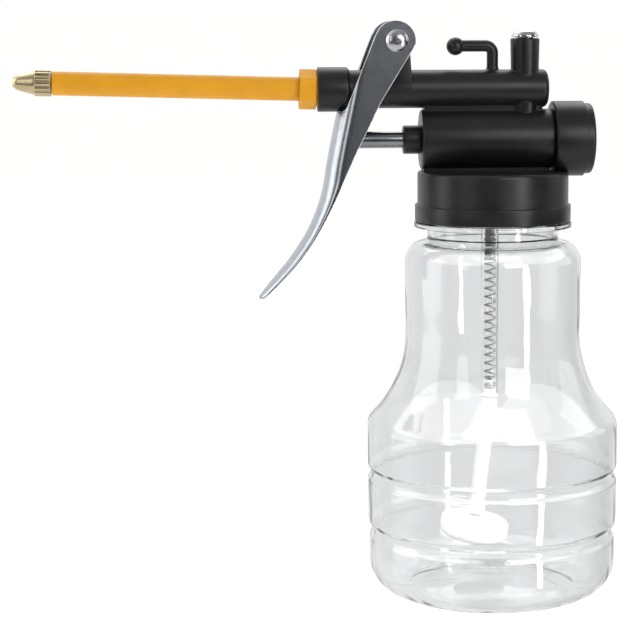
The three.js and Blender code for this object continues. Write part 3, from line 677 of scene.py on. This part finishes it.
def bottle_shells():
    body = bottle_body()
    bore = NECK - 1.4
    finish = rounded([
        (NECK, RING_BOTTOM, 0.2), (RING, RING_BOTTOM, 0.25), (RING, RING_TOP, 0.25), (RIM, RING_TOP, 0.25),
        (RIM, RIM_TOP, 0.4), (bore, RIM_TOP, 0.4), (bore, 99.8, 0.1),
    ])
    inner = inset(body, BOTTLE_WALL)
    inner[0].x = 0
    outline = [*body, *finish, *[p for p in reversed(inner) if p.y < 99.4 or p.x > RIM]]
    segments = 168
    angles = [2 * pi * i / segments for i in range(segments)]
    for centre in (SEAM_ANGLE, SEAM_ANGLE + pi):
        angles += [(centre + radians(d)) % (2 * pi) for d in (-0.5, -0.25, 0, 0.25, 0.5)]
    angles = sorted(set(round(a, 6) for a in angles))
    outer_edge = {(round(p.x, 4), round(p.y, 4)) for p in body}

    def parting_line(angle, r, h):
        """The fine raised line that the mould's two halves leave."""
        if (round(r, 4), round(h, 4)) not in outer_edge or h < 0.1:
            return 0.0
        off = degrees(abs(sin(angle - SEAM_ANGLE)))
        fade = min(1.0, h / 6) * max(0.15, 1 - h / 20)
        return SEAM_HEIGHT * exp(-((off / SEAM_WIDTH) ** 2)) * fade

    return [turned(outline, angles=angles, swell=parting_line), swept(thread_line(), THREAD, 10)]


bottle_shell = piece("bottle_shell", bottle_shells(), clear_bottle, "bottle", "bottle")
bottle_shell.visible_shadow = False

# -------- pump head


def cap_shells():
    outline = rounded([
        (0, CAP_TOP), (CAP, CAP_TOP, 1.0), (CAP, CAP_STEP, 0.12), (CAP_SKIRT, CAP_STEP, 0.25),
        (CAP_SKIRT, CAP_BOTTOM, 0.25), (CAP_BORE, CAP_BOTTOM, 0.5), (CAP_BORE, CAP_CEILING, 0.3),
        (0, CAP_CEILING),
    ])
    return [turned(outline, segments=160)]


def box_outline(left, right, bottom, top):
    return [Vector(p) for p in ((left, bottom), (right, bottom), (right, top), (left, top))]


def saddle_shell():
    """The block that joins the cylinder to the cap."""
    outline = box_outline(PUMP_LEFT + 0.6, NUT_LEFT - 1.0, CAP_TOP - 1, CAP_TOP + 4)
    return prism(outline, -SADDLE_HALF, SADDLE_HALF, 0.3)


def web_shell():
    """The web that ties the outlet barrel to the cylinder."""
    outline = box_outline(PUMP_LEFT + 0.8, BARREL_RIGHT - 1.6, PUMP_Z + 6, BARREL_Z - 1.5)
    return prism(outline, -WEB_HALF, WEB_HALF, 0.3)


def cylinder_shell():
    """The pump cylinder and the spigot for its end nut."""
    outline = rounded([
        (0, PUMP_LEFT), (PUMP_RADIUS, PUMP_LEFT, 0.8), (PUMP_RADIUS, NUT_LEFT - GAP, 0.3),
        (SPIGOT, NUT_LEFT - GAP, 0.1), (SPIGOT, SPIGOT_RIGHT, 0.3), (0, SPIGOT_RIGHT),
    ])
    return turned(outline, "X", PUMP_AXIS, 128)


def barrel_shell():
    """The outlet barrel, widened at its left end into the spout's socket."""
    bore, bottom = 4.8, SOCKET_LEFT + 6
    outline = rounded([
        (bore, bottom), (bore, SOCKET_LEFT, 0.2), (SOCKET, SOCKET_LEFT, 0.3),
        (SOCKET, SOCKET_RIGHT - 0.5, 0.5), (BARREL, SOCKET_RIGHT, 0.4), (BARREL, BARREL_RIGHT - 0.9, 0.9),
        (BARREL - 0.9, BARREL_RIGHT, 0.9), (0, BARREL_RIGHT),
    ])
    return turned([Vector((0, bottom)), *outline], "X", BARREL_AXIS, 112)


def tower_shell():
    bore = 2.9
    outline = rounded([
        (0, PUMP_Z + 3), (TOWER - 0.1, PUMP_Z + 3), (TOWER - 0.15, 146, 0), (TOWER, TOWER_TOP, 0.5),
        (bore, TOWER_TOP, 0.2), (bore, TOWER_TOP - 2), (0, TOWER_TOP - 2),
    ])
    return turned(outline, "Z", (TOWER_X, 0, 0), 80)


def hook_shells():
    """The hanging hook: a bent bar, its fillet and its ball."""
    bend = 2.0
    line = [Vector((HOOK_X, 0, z)) for z in (BARREL_Z + 3, 146, 147.5, 149)]
    for p in arc((HOOK_X - bend, HOOK_ARM - bend), (bend, bend), 0, 90, 14):
        line.append(Vector((p.x, 0, p.y)))
    line += [Vector((x, 0, HOOK_ARM)) for x in (-4.5, -6.5, HOOK_BALL_X + 2.6, HOOK_BALL_X + 1.9)]
    foot = [(0, 143), (HOOK + 1.6, 143)]
    for a in range(10, 91, 10):
        angle = radians(a)
        foot.append((HOOK + 1.5 * (1 - sin(angle)), 144.6 + 1.9 * (1 - cos(angle))))
    foot.append((0, 146.5))
    ball = arc((0, 0), (HOOK_BALL, HOOK_BALL), -90, 90, 28)
    return [
        swept(line, HOOK, 32),
        turned([Vector(p) for p in foot], "Z", (HOOK_X, 0, 0), 48),
        turned(ball, "X", (HOOK_BALL_X, 0, HOOK_ARM - 0.1), 56),
    ]


def lug_shell():
    """The lug on the barrel that the lever's rivet runs through."""
    left, right = PIVOT_X - LUG_ROUND, PIVOT_X + LUG_ROUND
    outline = [Vector((left, BARREL_Z)), Vector((right + 1.0, BARREL_Z)), Vector((right + 0.5, 145.6))]
    outline += arc((PIVOT_X, PIVOT_Z), (LUG_ROUND, LUG_ROUND), 0, 180, 20)
    return prism(outline, -LUG_HALF, LUG_HALF, 0.4)


def boss_shell():
    """The round pads beside the lug that the lever's ears run against."""
    outline = rounded([(0, -BOSS_HALF), (BOSS, -BOSS_HALF, 0.3), (BOSS, BOSS_HALF, 0.3), (0, BOSS_HALF)])
    return turned(outline, "Y", (PIVOT_X, 0, PIVOT_Z), 56)


def nipple_shell():
    """The barbed nipple under the cap, which holds the intake tube."""
    barb, stem = NIPPLE + 0.34, 3.4
    corners = [(0, NIPPLE_BOTTOM), (NIPPLE, NIPPLE_BOTTOM, 0.15)]
    for i in range(3):
        z = NIPPLE_BOTTOM + 0.6 + 1.8 * i
        corners += [(NIPPLE, z, 0.1), (barb, z + 1.0, 0.05), (NIPPLE, z + 1.15, 0.05)]
    corners += [(NIPPLE, 102.6, 0.3), (2.6, 104, 0.4), (stem, 111, 0.4), (stem, CAP_CEILING + 1),
                (0, CAP_CEILING + 1)]
    return turned(rounded(corners), "Z", (INTAKE_X, 0, 0), 48)


piece("screw_cap_shell", cap_shells(), cap_black, "pump", None)
piece("pump_head_moulding",
      [saddle_shell(), web_shell(), cylinder_shell(), barrel_shell(), tower_shell(), *hook_shells(),
       lug_shell(), boss_shell(), nipple_shell()],
      head_black, "pump", "pump_head")


def ring_shell(inner, outer, start, end, axis, at, rounding=0.2, segments=96):
    outline = rounded([(inner, start), (outer, start), (outer, end), (inner, end)], rounding, loop=True)
    return turned(outline, axis, at, segments, loop=True)


piece("neck_gasket_ring", [ring_shell(16.2, CAP_BORE - 0.3, 113.15, CAP_CEILING - 0.2, "Z", (0, 0, 0))],
      gasket_rubber, "closure", "neck_gasket")


def nut_shells():
    """The end nut: its body with a stepped nose, and a shallow round recess in its face."""
    step = NUT_RIGHT - 2.25
    nose = NUT_RADIUS - 0.65
    bore = SPIGOT + GAP
    outline = rounded([
        (0, SPIGOT_RIGHT + 1.0), (bore, SPIGOT_RIGHT + 1.0, 0.2), (bore, NUT_LEFT, 0.3),
        (NUT_RADIUS, NUT_LEFT, 0.55), (NUT_RADIUS, step, 0.25), (nose, step, 0.12),
        (nose, NUT_RIGHT, 0.8), (4.2, NUT_RIGHT, 0.2), (4.0, NUT_RIGHT - 0.3, 0.2), (0, NUT_RIGHT - 0.3),
    ])
    return [turned(outline, "X", PUMP_AXIS, 144)]


piece("end_nut_shell", nut_shells(), part_black, "pump", "end_nut")
piece("end_nut_seal_ring", [ring_shell(6.3, 7.55, 23.12, 23.68, "X", PUMP_AXIS, 0.2)],
      seal_rubber, "pump", "end_nut_seal")


def gland_shells():
    """The rod's bush: a nose outside the cylinder and a spigot inside it."""
    bore, spigot, spigot_right = ROD + GAP, 3.2, -18.7
    nose_right = PUMP_LEFT - 0.2
    outline = rounded([
        (bore, GLAND_LEFT), (GLAND_RADIUS, GLAND_LEFT, 0.5), (GLAND_RADIUS, nose_right, 0.15),
        (spigot, nose_right, 0.1), (spigot, spigot_right, 0.2), (bore, spigot_right),
    ], 0.25, loop=True)
    return [turned(outline, "X", PUMP_AXIS, 80, loop=True)]


piece("rod_gland_bush", gland_shells(), part_black, "pump", "rod_gland")
o_ring = arc((2.84, -17.6), (0.42, 0.42), 0, 345, 23)
piece("rod_seal_ring", [turned(o_ring, "X", PUMP_AXIS, 64, loop=True)],
      seal_rubber, "pump", "rod_seal")

# -------- plunger and its spring

PISTON_LEFT, PISTON_RIGHT = span("piston", "X")
CUP_LEFT, CUP_RIGHT = span("piston_cup", "X")


def rod_shells():
    """A rounded nose, a shoulder against the piston, and a head behind the cup."""
    shoulder, head, head_left = PISTON_LEFT - GAP, 2.8, ROD_RIGHT - 1.1
    outline = rounded([
        (0, ROD_LEFT), (1.5, ROD_LEFT, 1.3), (ROD, ROD_LEFT + 1.9, 1.2), (ROD, shoulder, 0.2),
        (TAIL, shoulder, 0.1), (TAIL, head_left, 0.1), (head, head_left, 0.15),
        (head, ROD_RIGHT, 0.6), (0, ROD_RIGHT),
    ], steps=6)
    return [turned(outline, "X", PUMP_AXIS, 72)]


def cup_shells():
    """The piston's cup: a rubber disc with a lip that opens to the right."""
    bore, lip, floor = TAIL + GAP, 5.85, CUP_LEFT + 1.2
    outline = rounded([
        (bore, CUP_LEFT), (lip - 0.35, CUP_LEFT), (lip, CUP_RIGHT), (lip - 0.75, CUP_RIGHT),
        (lip - 1.15, floor), (3.2, floor), (3.0, CUP_RIGHT), (bore, CUP_RIGHT),
    ], 0.2, loop=True)
    return [turned(outline, "X", PUMP_AXIS, 72, loop=True)]


def coil(radius, wire, start, end, turns, dense_start, dense_end, steps=22):
    """A spring's centreline along +Z, closed up over its first and last turns."""
    closed_pace = 2.1 * wire / steps
    pace = []
    for i in range(int(turns * steps)):
        t = i / steps
        pace.append(closed_pace if t < dense_start or t > turns - dense_end else None)
    used = sum(p for p in pace if p)
    open_pace = (end - start - 2 * wire - used) / pace.count(None)
    z = start + wire
    line = [(radius, 0, z)]
    for i, p in enumerate(pace):
        z += p or open_pace
        angle = 2 * pi * (i + 1) / steps
        line.append((radius * cos(angle), radius * sin(angle), z))
    return line


def shortens(spring):
    """Gives the spring a mesh of its own."""
    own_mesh(spring)


def spring(name, node, line, wire):
    return piece(name, [swept(line, wire, 10)], spring_steel, "pump", node)


piece("plunger_rod_bar", rod_shells(), rod_steel, "plunger", "plunger_rod")
piece("piston_disc", [ring_shell(TAIL + GAP, 5.75, PISTON_LEFT, PISTON_RIGHT, "X", PUMP_AXIS, 0.3)],
      white_plastic, "plunger", "piston")
piece("piston_cup_seal", cup_shells(), seal_rubber, "plunger", "piston_cup")
spring_left, spring_right = span("return_spring", "X")
return_coil = coil(4.0, 0.4, spring_left, spring_right, turns=9.5, dense_start=1, dense_end=1)
return_coil = [(z, x, y + PUMP_Z) for x, y, z in return_coil]
return_spring = spring("return_spring_coil", "return_spring", return_coil, 0.4)
shortens(return_spring)

# -------- valves and the intake tube


def ball_shell(x, z, radius):
    return turned(arc((0, 0), (radius, radius), -90, 90, 24), "Z", (x, 0, z), 48)


def plug_shells():
    """The outlet valve's plug: a polished dome with a stem."""
    seat = TOWER_TOP + 0.25
    outline = rounded([
        (0, TOWER_TOP - 3.6), (2.35, TOWER_TOP - 3.6, 0.2), (2.35, seat, 0.1), (PLUG_RADIUS, seat, 0.15),
        (PLUG_RADIUS, seat + 0.55, 0.4), (3.1, seat + 1.5, 0.8), (1.6, PLUG_TOP, 0.7), (0, PLUG_TOP),
    ], steps=6)
    return [turned(outline, "Z", (TOWER_X, 0, 0), 96)]


piece("valve_plug_dome", plug_shells(), chrome, "pump", "valve_plug")
outlet_z = middle("outlet_ball", "Z")
piece("outlet_ball_steel", [ball_shell(TOWER_X, outlet_z, 2.0)], chrome, "outlet_valve",
      "outlet_ball")
outlet_low, outlet_high = span("outlet_spring", "Z")
outlet_coil = coil(1.7, 0.25, outlet_low, outlet_high, turns=6.5, dense_start=1, dense_end=1)
outlet_coil = [(x + TOWER_X, y, z) for x, y, z in outlet_coil]
outlet_spring = spring("outlet_spring_coil", "outlet_spring", outlet_coil, 0.25)
shortens(outlet_spring)


def intake_tube_shells():
    bore = TUBE_RADIUS - 0.4
    outline = rounded([
        (bore, TUBE_BOTTOM), (TUBE_RADIUS, TUBE_BOTTOM), (TUBE_RADIUS, TUBE_TOP), (bore, TUBE_TOP),
    ], 0.12, loop=True)
    return [turned(outline, "Z", (INTAKE_X, 0, 0), 64, loop=True)]


def seat_shells():
    """The fitting at the tube's foot: a plug in the tube, a flange, and a stem in the hose."""
    plug, stem, bore = 1.75, 1.2, 0.6
    flange = TUBE_BOTTOM - GAP
    outline = rounded([
        (bore, SEAT_BOTTOM), (stem, SEAT_BOTTOM), (stem, flange - 0.7), (TUBE_RADIUS, flange - 0.7),
        (TUBE_RADIUS, flange), (plug, flange), (plug, SEAT_TOP), (0.9, SEAT_TOP), (bore, SEAT_TOP - 0.4),
    ], 0.12, loop=True)
    return [turned(outline, "Z", (INTAKE_X, 0, 0), 56, loop=True)]


intake_tube = piece("intake_tube_clear", intake_tube_shells(), clear_tube, "pump",
                    "intake_tube")
intake_tube.visible_shadow = False
intake_coil = coil(1.45, 0.22, SPRING_BOTTOM, SPRING_TOP, turns=18, dense_start=0.8, dense_end=3)
intake_coil = [(x + INTAKE_X, y, z) for x, y, z in intake_coil]
intake_spring = spring("intake_spring_coil", "intake_spring", intake_coil, 0.22)
shortens(intake_spring)
piece("intake_ball_steel", [ball_shell(INTAKE_X, BALL_Z, BALL_RADIUS)], chrome, "intake_valve",
      "intake_ball")
piece("intake_seat_plug", seat_shells(), white_plastic, "pump", "intake_seat")

# -------- trigger lever

# Down the channel: where its front runs, its depth to the rear edge, and its half-width.
LEVER_STATIONS = [
    (-43.1, 133.7, 10.06, 7.35),
    (-44.5, 127.2, 7.7, 7.35),
    (-45.9, 120.0, 5.9, 7.35),
    (-47.1, 113.0, 4.1, 7.3),
    (-48.9, 107.3, 3.15, 7.2),
    (-51.7, 101.2, 2.6, 7.0),
    (-55.6, 95.2, 2.35, 6.6),
    (-59.2, 90.7, 2.1, 6.0),
    (-62.4, 86.9, 1.8, 4.9),
    (-64.3, 84.5, 1.5, 3.3),
    (-65.0, 83.5, 1.0, 1.2),
]
SMOOTHING = 9  # steps between two stations
WEB_TOP = 134.9  # the channel's front ends here, and the two ears go on
EAR_FRONT = [(-41.3, WEB_TOP - 0.35), (-40.9, WEB_TOP), (-40.45, 135.7), (-39.75, 137.6), (-32.7, 155.3)]
EAR_REAR = [(-33.04, 133.7), (-31.15, 137.5), (-22.05, 152.27)]
COLUMNS = 26  # steps round half a section


def on_line(points, z):
    """The x of a rising line of points at a height."""
    for (x0, z0), (x1, z1) in zip(points, points[1:]):
        if z <= z1:
            return x0 + (x1 - x0) * max(0.0, (z - z0) / (z1 - z0))
    return points[-1][0]


def on_circle(z, sign):
    """The x of the ears' round top at a height, in front for sign -1 and behind for 1."""
    return EAR_X + sign * sqrt(max(0.0, EAR ** 2 - (z - EAR_Z) ** 2))


def half_section(front, back, depth, cut, side):
    """Points from the rear edge round to the cut, on the near side of the lever."""
    nose = min(NOSE, depth)
    points = []
    for k in range(COLUMNS + 1):
        t = k / COLUMNS
        u = depth + (cut - depth) * (1 - (1 - t) ** 1.7)
        if u < nose:
            y = side * sqrt(max(0.0, 1 - ((nose - u) / nose) ** 2))
        else:
            y = side
        points.append((front.x + back.x * u, -y, front.y + back.y * u))
    return points


def lever_rows():
    """Half sections from the lever's foot up to the top of its ears."""
    stations = smooth_line([s[:3] for s in LEVER_STATIONS], SMOOTHING)
    sides = smooth_line([(s[3], 0, 0) for s in LEVER_STATIONS], SMOOTHING)
    rows = []
    for i in reversed(range(len(stations))):
        here = stations[i]
        along = Vector(stations[min(i + 1, len(stations) - 1)][:2]) - Vector(stations[max(i - 1, 0)][:2])
        along.normalize()
        level = min(1.0, i / SMOOTHING)
        back = (Vector((1, 0)) * (1 - level) + Vector((-along.y, along.x)) * level).normalized()
        rows.append((Vector(here[:2]), back, here[2], 0.0, sides[i].x))
    (x0, start, *_), (x1, next_down, *_) = LEVER_STATIONS[:2]
    slope = (x0 - x1) / (start - next_down)
    heights = [start + 0.25 * i for i in range(1, 4)]
    heights += [WEB_TOP - 0.35 + 0.12 * i for i in range(12)]
    heights += [136 + 0.75 * i for i in range(24)]
    top = EAR_Z + EAR
    heights += [EAR_Z + EAR * sin(radians(a)) for a in range(6, 90, 4)]
    for z in heights:
        front_x = x0 + slope * (z - start)
        rear = on_line(EAR_REAR, z) if z < EAR_REAR[-1][1] else on_circle(z, 1)
        edge = on_line(EAR_FRONT, z) if z < EAR_FRONT[-1][1] else on_circle(z, -1)
        cut = 0.0 if z < WEB_TOP - 0.36 else edge - front_x
        rows.append((Vector((front_x, z)), Vector((1, 0)), rear - front_x, cut, LEVER_HALF))
    return [half_section(*r) for r in rows if r[0].y < top - 0.01]


def make_lever():
    """The lever as a sheet, thickened inwards and with its cut edges rounded."""
    rows = lever_rows()
    vertices, faces = [], []
    for side in (1, -1):
        base = len(vertices)
        for points in rows:
            vertices += [(x, y * side, z) for x, y, z in points]
        for j in range(len(rows) - 1):
            for k in range(COLUMNS):
                a = base + j * (COLUMNS + 1) + k
                b = a + COLUMNS + 1
                faces.append((a, a + 1, b + 1, b))
    obj = piece("trigger_lever_pressing", [(vertices, faces)], lever_steel, "trigger",
                "trigger_lever", sharp=60)
    thick = obj.modifiers.new("sheet", "SOLIDIFY")
    thick.thickness = SHEET * MM
    thick.offset = -1
    thick.use_even_offset = True
    soften = obj.modifiers.new("edges", "BEVEL")
    soften.width = CUT_EDGE * MM
    soften.segments = 4
    soften.limit_method = "ANGLE"
    soften.angle_limit = radians(55)
    soften.harden_normals = True


make_lever()


def rivet_shells():
    """The pivot rivet: a shank with a domed, rimmed head at each end."""
    face = LEVER_HALF + 0.2
    head = [
        (2.0, face, 0.1), (RIVET_HEAD, face, 0.1), (RIVET_HEAD, face + 0.35, 0.2),
        (2.75, face + 0.75, 0.4), (2.2, RIVET_END - 0.42, 0.7), (1.1, RIVET_END, 0.8), (0, RIVET_END),
    ]
    mirrored = [(r, -y, *rest) for r, y, *rest in reversed(head)]
    return [turned(rounded([*mirrored, *head], steps=6), "Y", (PIVOT_X, 0, PIVOT_Z), 88)]


piece("pivot_rivet_domed", rivet_shells(), rivet_steel, "pump", "pivot_rivet")

# -------- spout

LEAN = (Matrix.Translation((SOCKET_LEFT, 0, BARREL_Z)) @ Matrix.Rotation(SPOUT_RISE, 4, "Y")
        @ Matrix.Translation((-SOCKET_LEFT, 0, -BARREL_Z)))


def spout_piece(name, shells, material, node):
    """A piece drawn along X, which rises with the spout."""
    piece(name, [moved(s, LEAN) for s in shells], material, "pump", node)


def hexagon_radius(angle):
    """How far a hexagon's side is from its axis, with its corners eased. A flat faces the front."""
    sector = pi / 3
    off = ((angle + sector / 2) % sector) - sector / 2
    flat = HEX * cos(pi / 6)
    return min(flat / cos(off), HEX * 0.97)


def spout_nut_shells():
    """The hexagon, and the round spigot that screws into the socket."""
    bore = SPOUT + GAP
    outline = rounded([
        (bore, HEX_LEFT, 0.15), (HEX, HEX_LEFT, 0.35), (HEX, HEX_RIGHT, 0.35), (NUT_SPIGOT, HEX_RIGHT, 0.1),
        (NUT_SPIGOT, NUT_SPIGOT_RIGHT, 0.2), (bore, NUT_SPIGOT_RIGHT, 0.1),
    ], loop=True)
    round_below = 4.6

    def flats(angle, r, x):
        share = max(0.0, (r - round_below) / (HEX - round_below))
        return (hexagon_radius(angle) - HEX) * share

    return [turned(outline, "X", BARREL_AXIS, 180, loop=True, swell=flats)]


def spout_tube_shells():
    outline = rounded([
        (SPOUT_BORE, SPOUT_LEFT), (SPOUT, SPOUT_LEFT), (SPOUT, SPOUT_RIGHT), (SPOUT_BORE, SPOUT_RIGHT),
    ], 0.2, loop=True)
    return [turned(outline, "X", BARREL_AXIS, 72, loop=True)]


def tip_shells():
    """The nozzle: a cone with its orifice, a fluted collar, and a shank inside the spout."""
    right = SPOUT_LEFT - GAP
    left = TIP_COLLAR + 0.3
    shank_end = right + 6
    orifice_end = TIP_LEFT + 1.5
    outline = rounded([
        (TIP_ORIFICE, orifice_end), (TIP_ORIFICE, TIP_LEFT, 0.1), (1.2, TIP_LEFT, 0.25),
        (2.0, TIP_LEFT + 1.1, 0.5), (TIP_CONE, TIP_COLLAR, 0.3), (TIP_CONE, left, 0.08), (TIP, left, 0.3),
        (TIP, right, 0.3), (TIP_BORE, right, 0.1), (TIP_BORE, shank_end, 0.2), (TIP_ORIFICE, shank_end),
    ], steps=5)

    def fluted(angle, r, x):
        if r < TIP_CONE + 0.05:
            return 0.0
        return -FLUTE_DEPTH * (0.5 - 0.5 * cos(FLUTES * angle)) ** 1.5

    long_outline = []
    for a, b in zip(outline, outline[1:]):
        long_outline.append(a)
        if (b - a).length > 1.5:
            long_outline += [a.lerp(b, k / 5) for k in range(1, 5)]
    long_outline.append(outline[-1])
    closed = [Vector((0, orifice_end)), *long_outline, Vector((0, shank_end))]
    return [turned(closed, "X", BARREL_AXIS, FLUTES * 16, swell=fluted)]


washer = ring_shell(WASHER_BORE, WASHER, WASHER_LEFT, WASHER_RIGHT, "X", BARREL_AXIS, 0.15)
spout_piece("spout_nut_hex", spout_nut_shells(), yellow_nut, "spout_nut")
spout_piece("spout_tube_long", spout_tube_shells(), yellow_tube, "spout_tube")
spout_piece("nozzle_tip_fluted", tip_shells(), brass_metal, "nozzle_tip")
spout_piece("spout_washer_ring", [washer], seal_rubber, "spout_washer")

# -------- floor and light


FLOOR_THROUGH = 0.86  # the floor and the backdrop, seen through the bottle
BACKDROP = (-0.42, 0.9075, 0.0)
FLOOR_RADIUS = 2.5
FADE_START, FADE_END = 0.5, 1.6
WHITE, COOL_WHITE = (1, 1, 0.995), (0.99, 0.995, 1)
DIM = 0.06  # the room in front


def make_floor():
    """A pale floor that fades out into the white surroundings."""
    bm = bmesh.new()
    bmesh.ops.create_circle(bm, cap_ends=True, radius=FLOOR_RADIUS, segments=96)
    mesh = bpy.data.meshes.new("floor")
    bm.to_mesh(mesh)
    bm.free()
    floor = bpy.data.objects.new("floor", mesh)
    bpy.context.scene.collection.objects.link(floor)
    floor.location.z = -0.00002
    material = bpy.data.materials.new("pale_floor")
    material.use_nodes = True
    material.node_tree.nodes.clear()
    nodes = Nodes(material.node_tree)
    out = nodes.add("ShaderNodeOutputMaterial")
    rays = nodes.add("ShaderNodeLightPath")
    diffuse = nodes.add("ShaderNodeBsdfDiffuse")
    diffuse.inputs["Color"].default_value = (0.9, 0.9, 0.895, 1)
    lit = nodes.add("ShaderNodeAddShader")
    nodes.link(diffuse.outputs[0], lit.inputs[0])
    nodes.link(nodes.glow("ShaderNodeEmission", WHITE, 0.62), lit.inputs[1])
    through = nodes.glow("ShaderNodeEmission", (1, 1, 1), FLOOR_THROUGH)
    shown = nodes.choose(rays.outputs["Is Transmission Ray"], lit.outputs[0], through)
    place = nodes.add("ShaderNodeTexCoord")
    distance = nodes.add("ShaderNodeVectorMath", operation="LENGTH")
    nodes.link(place.outputs["Object"], distance.inputs[0])
    far = nodes.sum("MAXIMUM", nodes.ramp(distance.outputs["Value"], FADE_START, FADE_END),
                    rays.outputs["Is Glossy Ray"])
    clear = nodes.add("ShaderNodeBsdfTransparent")
    nodes.link(nodes.choose(far, shown, clear.outputs[0]), out.inputs["Surface"])
    mesh.materials.append(material)
    floor.visible_glossy = False


def make_world():
    """White to the camera. Reflections see a white backdrop behind and to the left, a white table
    steeply below, and a dim room in front. Through the bottle it is white in front and behind."""
    world = bpy.data.worlds.new("studio")
    bpy.context.scene.world = world
    world.use_nodes = True
    world.node_tree.nodes.clear()
    nodes = Nodes(world.node_tree)
    out = nodes.add("ShaderNodeOutputWorld")
    rays = nodes.add("ShaderNodeLightPath")
    place = nodes.add("ShaderNodeTexCoord")
    facing = nodes.add("ShaderNodeVectorMath", operation="DOT_PRODUCT")
    facing.inputs[1].default_value = BACKDROP
    nodes.link(place.outputs["Generated"], facing.inputs[0])
    split = nodes.add("ShaderNodeSeparateXYZ")
    nodes.link(place.outputs["Generated"], split.inputs[0])
    height = split.outputs["Z"]
    backdrop = nodes.ramp(facing.outputs["Value"], -0.1, 0.5, DIM, 0.9)
    table = nodes.ramp(height, -0.25, -0.5, 0.0, 0.75)
    ceiling = nodes.ramp(height, 0.3, 0.9, 0.0, 0.25)
    room = nodes.sum("ADD", nodes.sum("MAXIMUM", backdrop, table), ceiling)
    seen = nodes.glow("ShaderNodeBackground", WHITE, 1.0)
    squared = nodes.sum("MULTIPLY", facing.outputs["Value"], facing.outputs["Value"])
    through = nodes.glow("ShaderNodeBackground", COOL_WHITE,
                         nodes.ramp(squared, -0.1, 0.25, DIM, FLOOR_THROUGH))
    other = nodes.glow("ShaderNodeBackground", COOL_WHITE, room)
    unseen = nodes.choose(rays.outputs["Is Transmission Ray"], other, through)
    nodes.link(nodes.choose(rays.outputs["Is Camera Ray"], unseen, seen), out.inputs["Surface"])


LIGHTS_AIM = Vector((0.02, 0, 0.09))


def soft_box(name, azimuth, elevation, distance, width, height, brightness):
    """A rectangular soft light. Azimuth 0 is in front, 90 to the right; brightness is its radiance."""
    a, e = radians(azimuth), radians(elevation)
    back = Vector((sin(a) * cos(e), -cos(a) * cos(e), sin(e)))
    data = bpy.data.lights.new(name, "AREA")
    data.shape = "RECTANGLE"
    data.size = width
    data.size_y = height
    data.energy = brightness * pi * width * height
    light = bpy.data.objects.new(name, data)
    bpy.context.scene.collection.objects.link(light)
    light.location = LIGHTS_AIM + back * distance
    light.rotation_mode = "QUATERNION"
    light.rotation_quaternion = back.to_track_quat("Z", "Y")
    light.visible_camera = False
    return light


make_floor()
make_world()
top = soft_box("top", 10, 62, 0.85, 0.75, 0.6, 3.2)
soft_box("front_soft", 24, 22, 1.0, 0.5, 0.4, 3.7)
soft_box("left_front", -45, 18, 0.95, 0.26, 0.6, 1.5)
soft_box("left_panel", -95, 12, 0.9, 0.55, 0.75, 1.2)
soft_box("right_strip", 39, -2, 0.9, 0.085, 0.8, 10.5)
soft_box("right_panel", 100, 20, 0.9, 0.5, 0.6, 0.9)
soft_box("back_top", 180, 50, 0.9, 0.8, 0.5, 1.6)
top.visible_glossy = False

# Wide soft boxes that only the bottle reflects.
bottle_only = bpy.data.collections.new("bottle_only")
bottle_only.objects.link(bottle_shell)
for name, azimuth, brightness in (("sky_left", -75, 1.2), ("sky_front", 0, 0.55), ("sky_right", 75, 1.3)):
    sky = soft_box(name, azimuth, 55, 0.8, 1.7, 1.15, brightness)
    sky.data.shape = "ELLIPSE"
    sky.light_linking.receiver_collection = bottle_only

bpy.context.scene.view_settings.view_transform = "Standard"
bpy.context.scene.view_settings.look = "None"
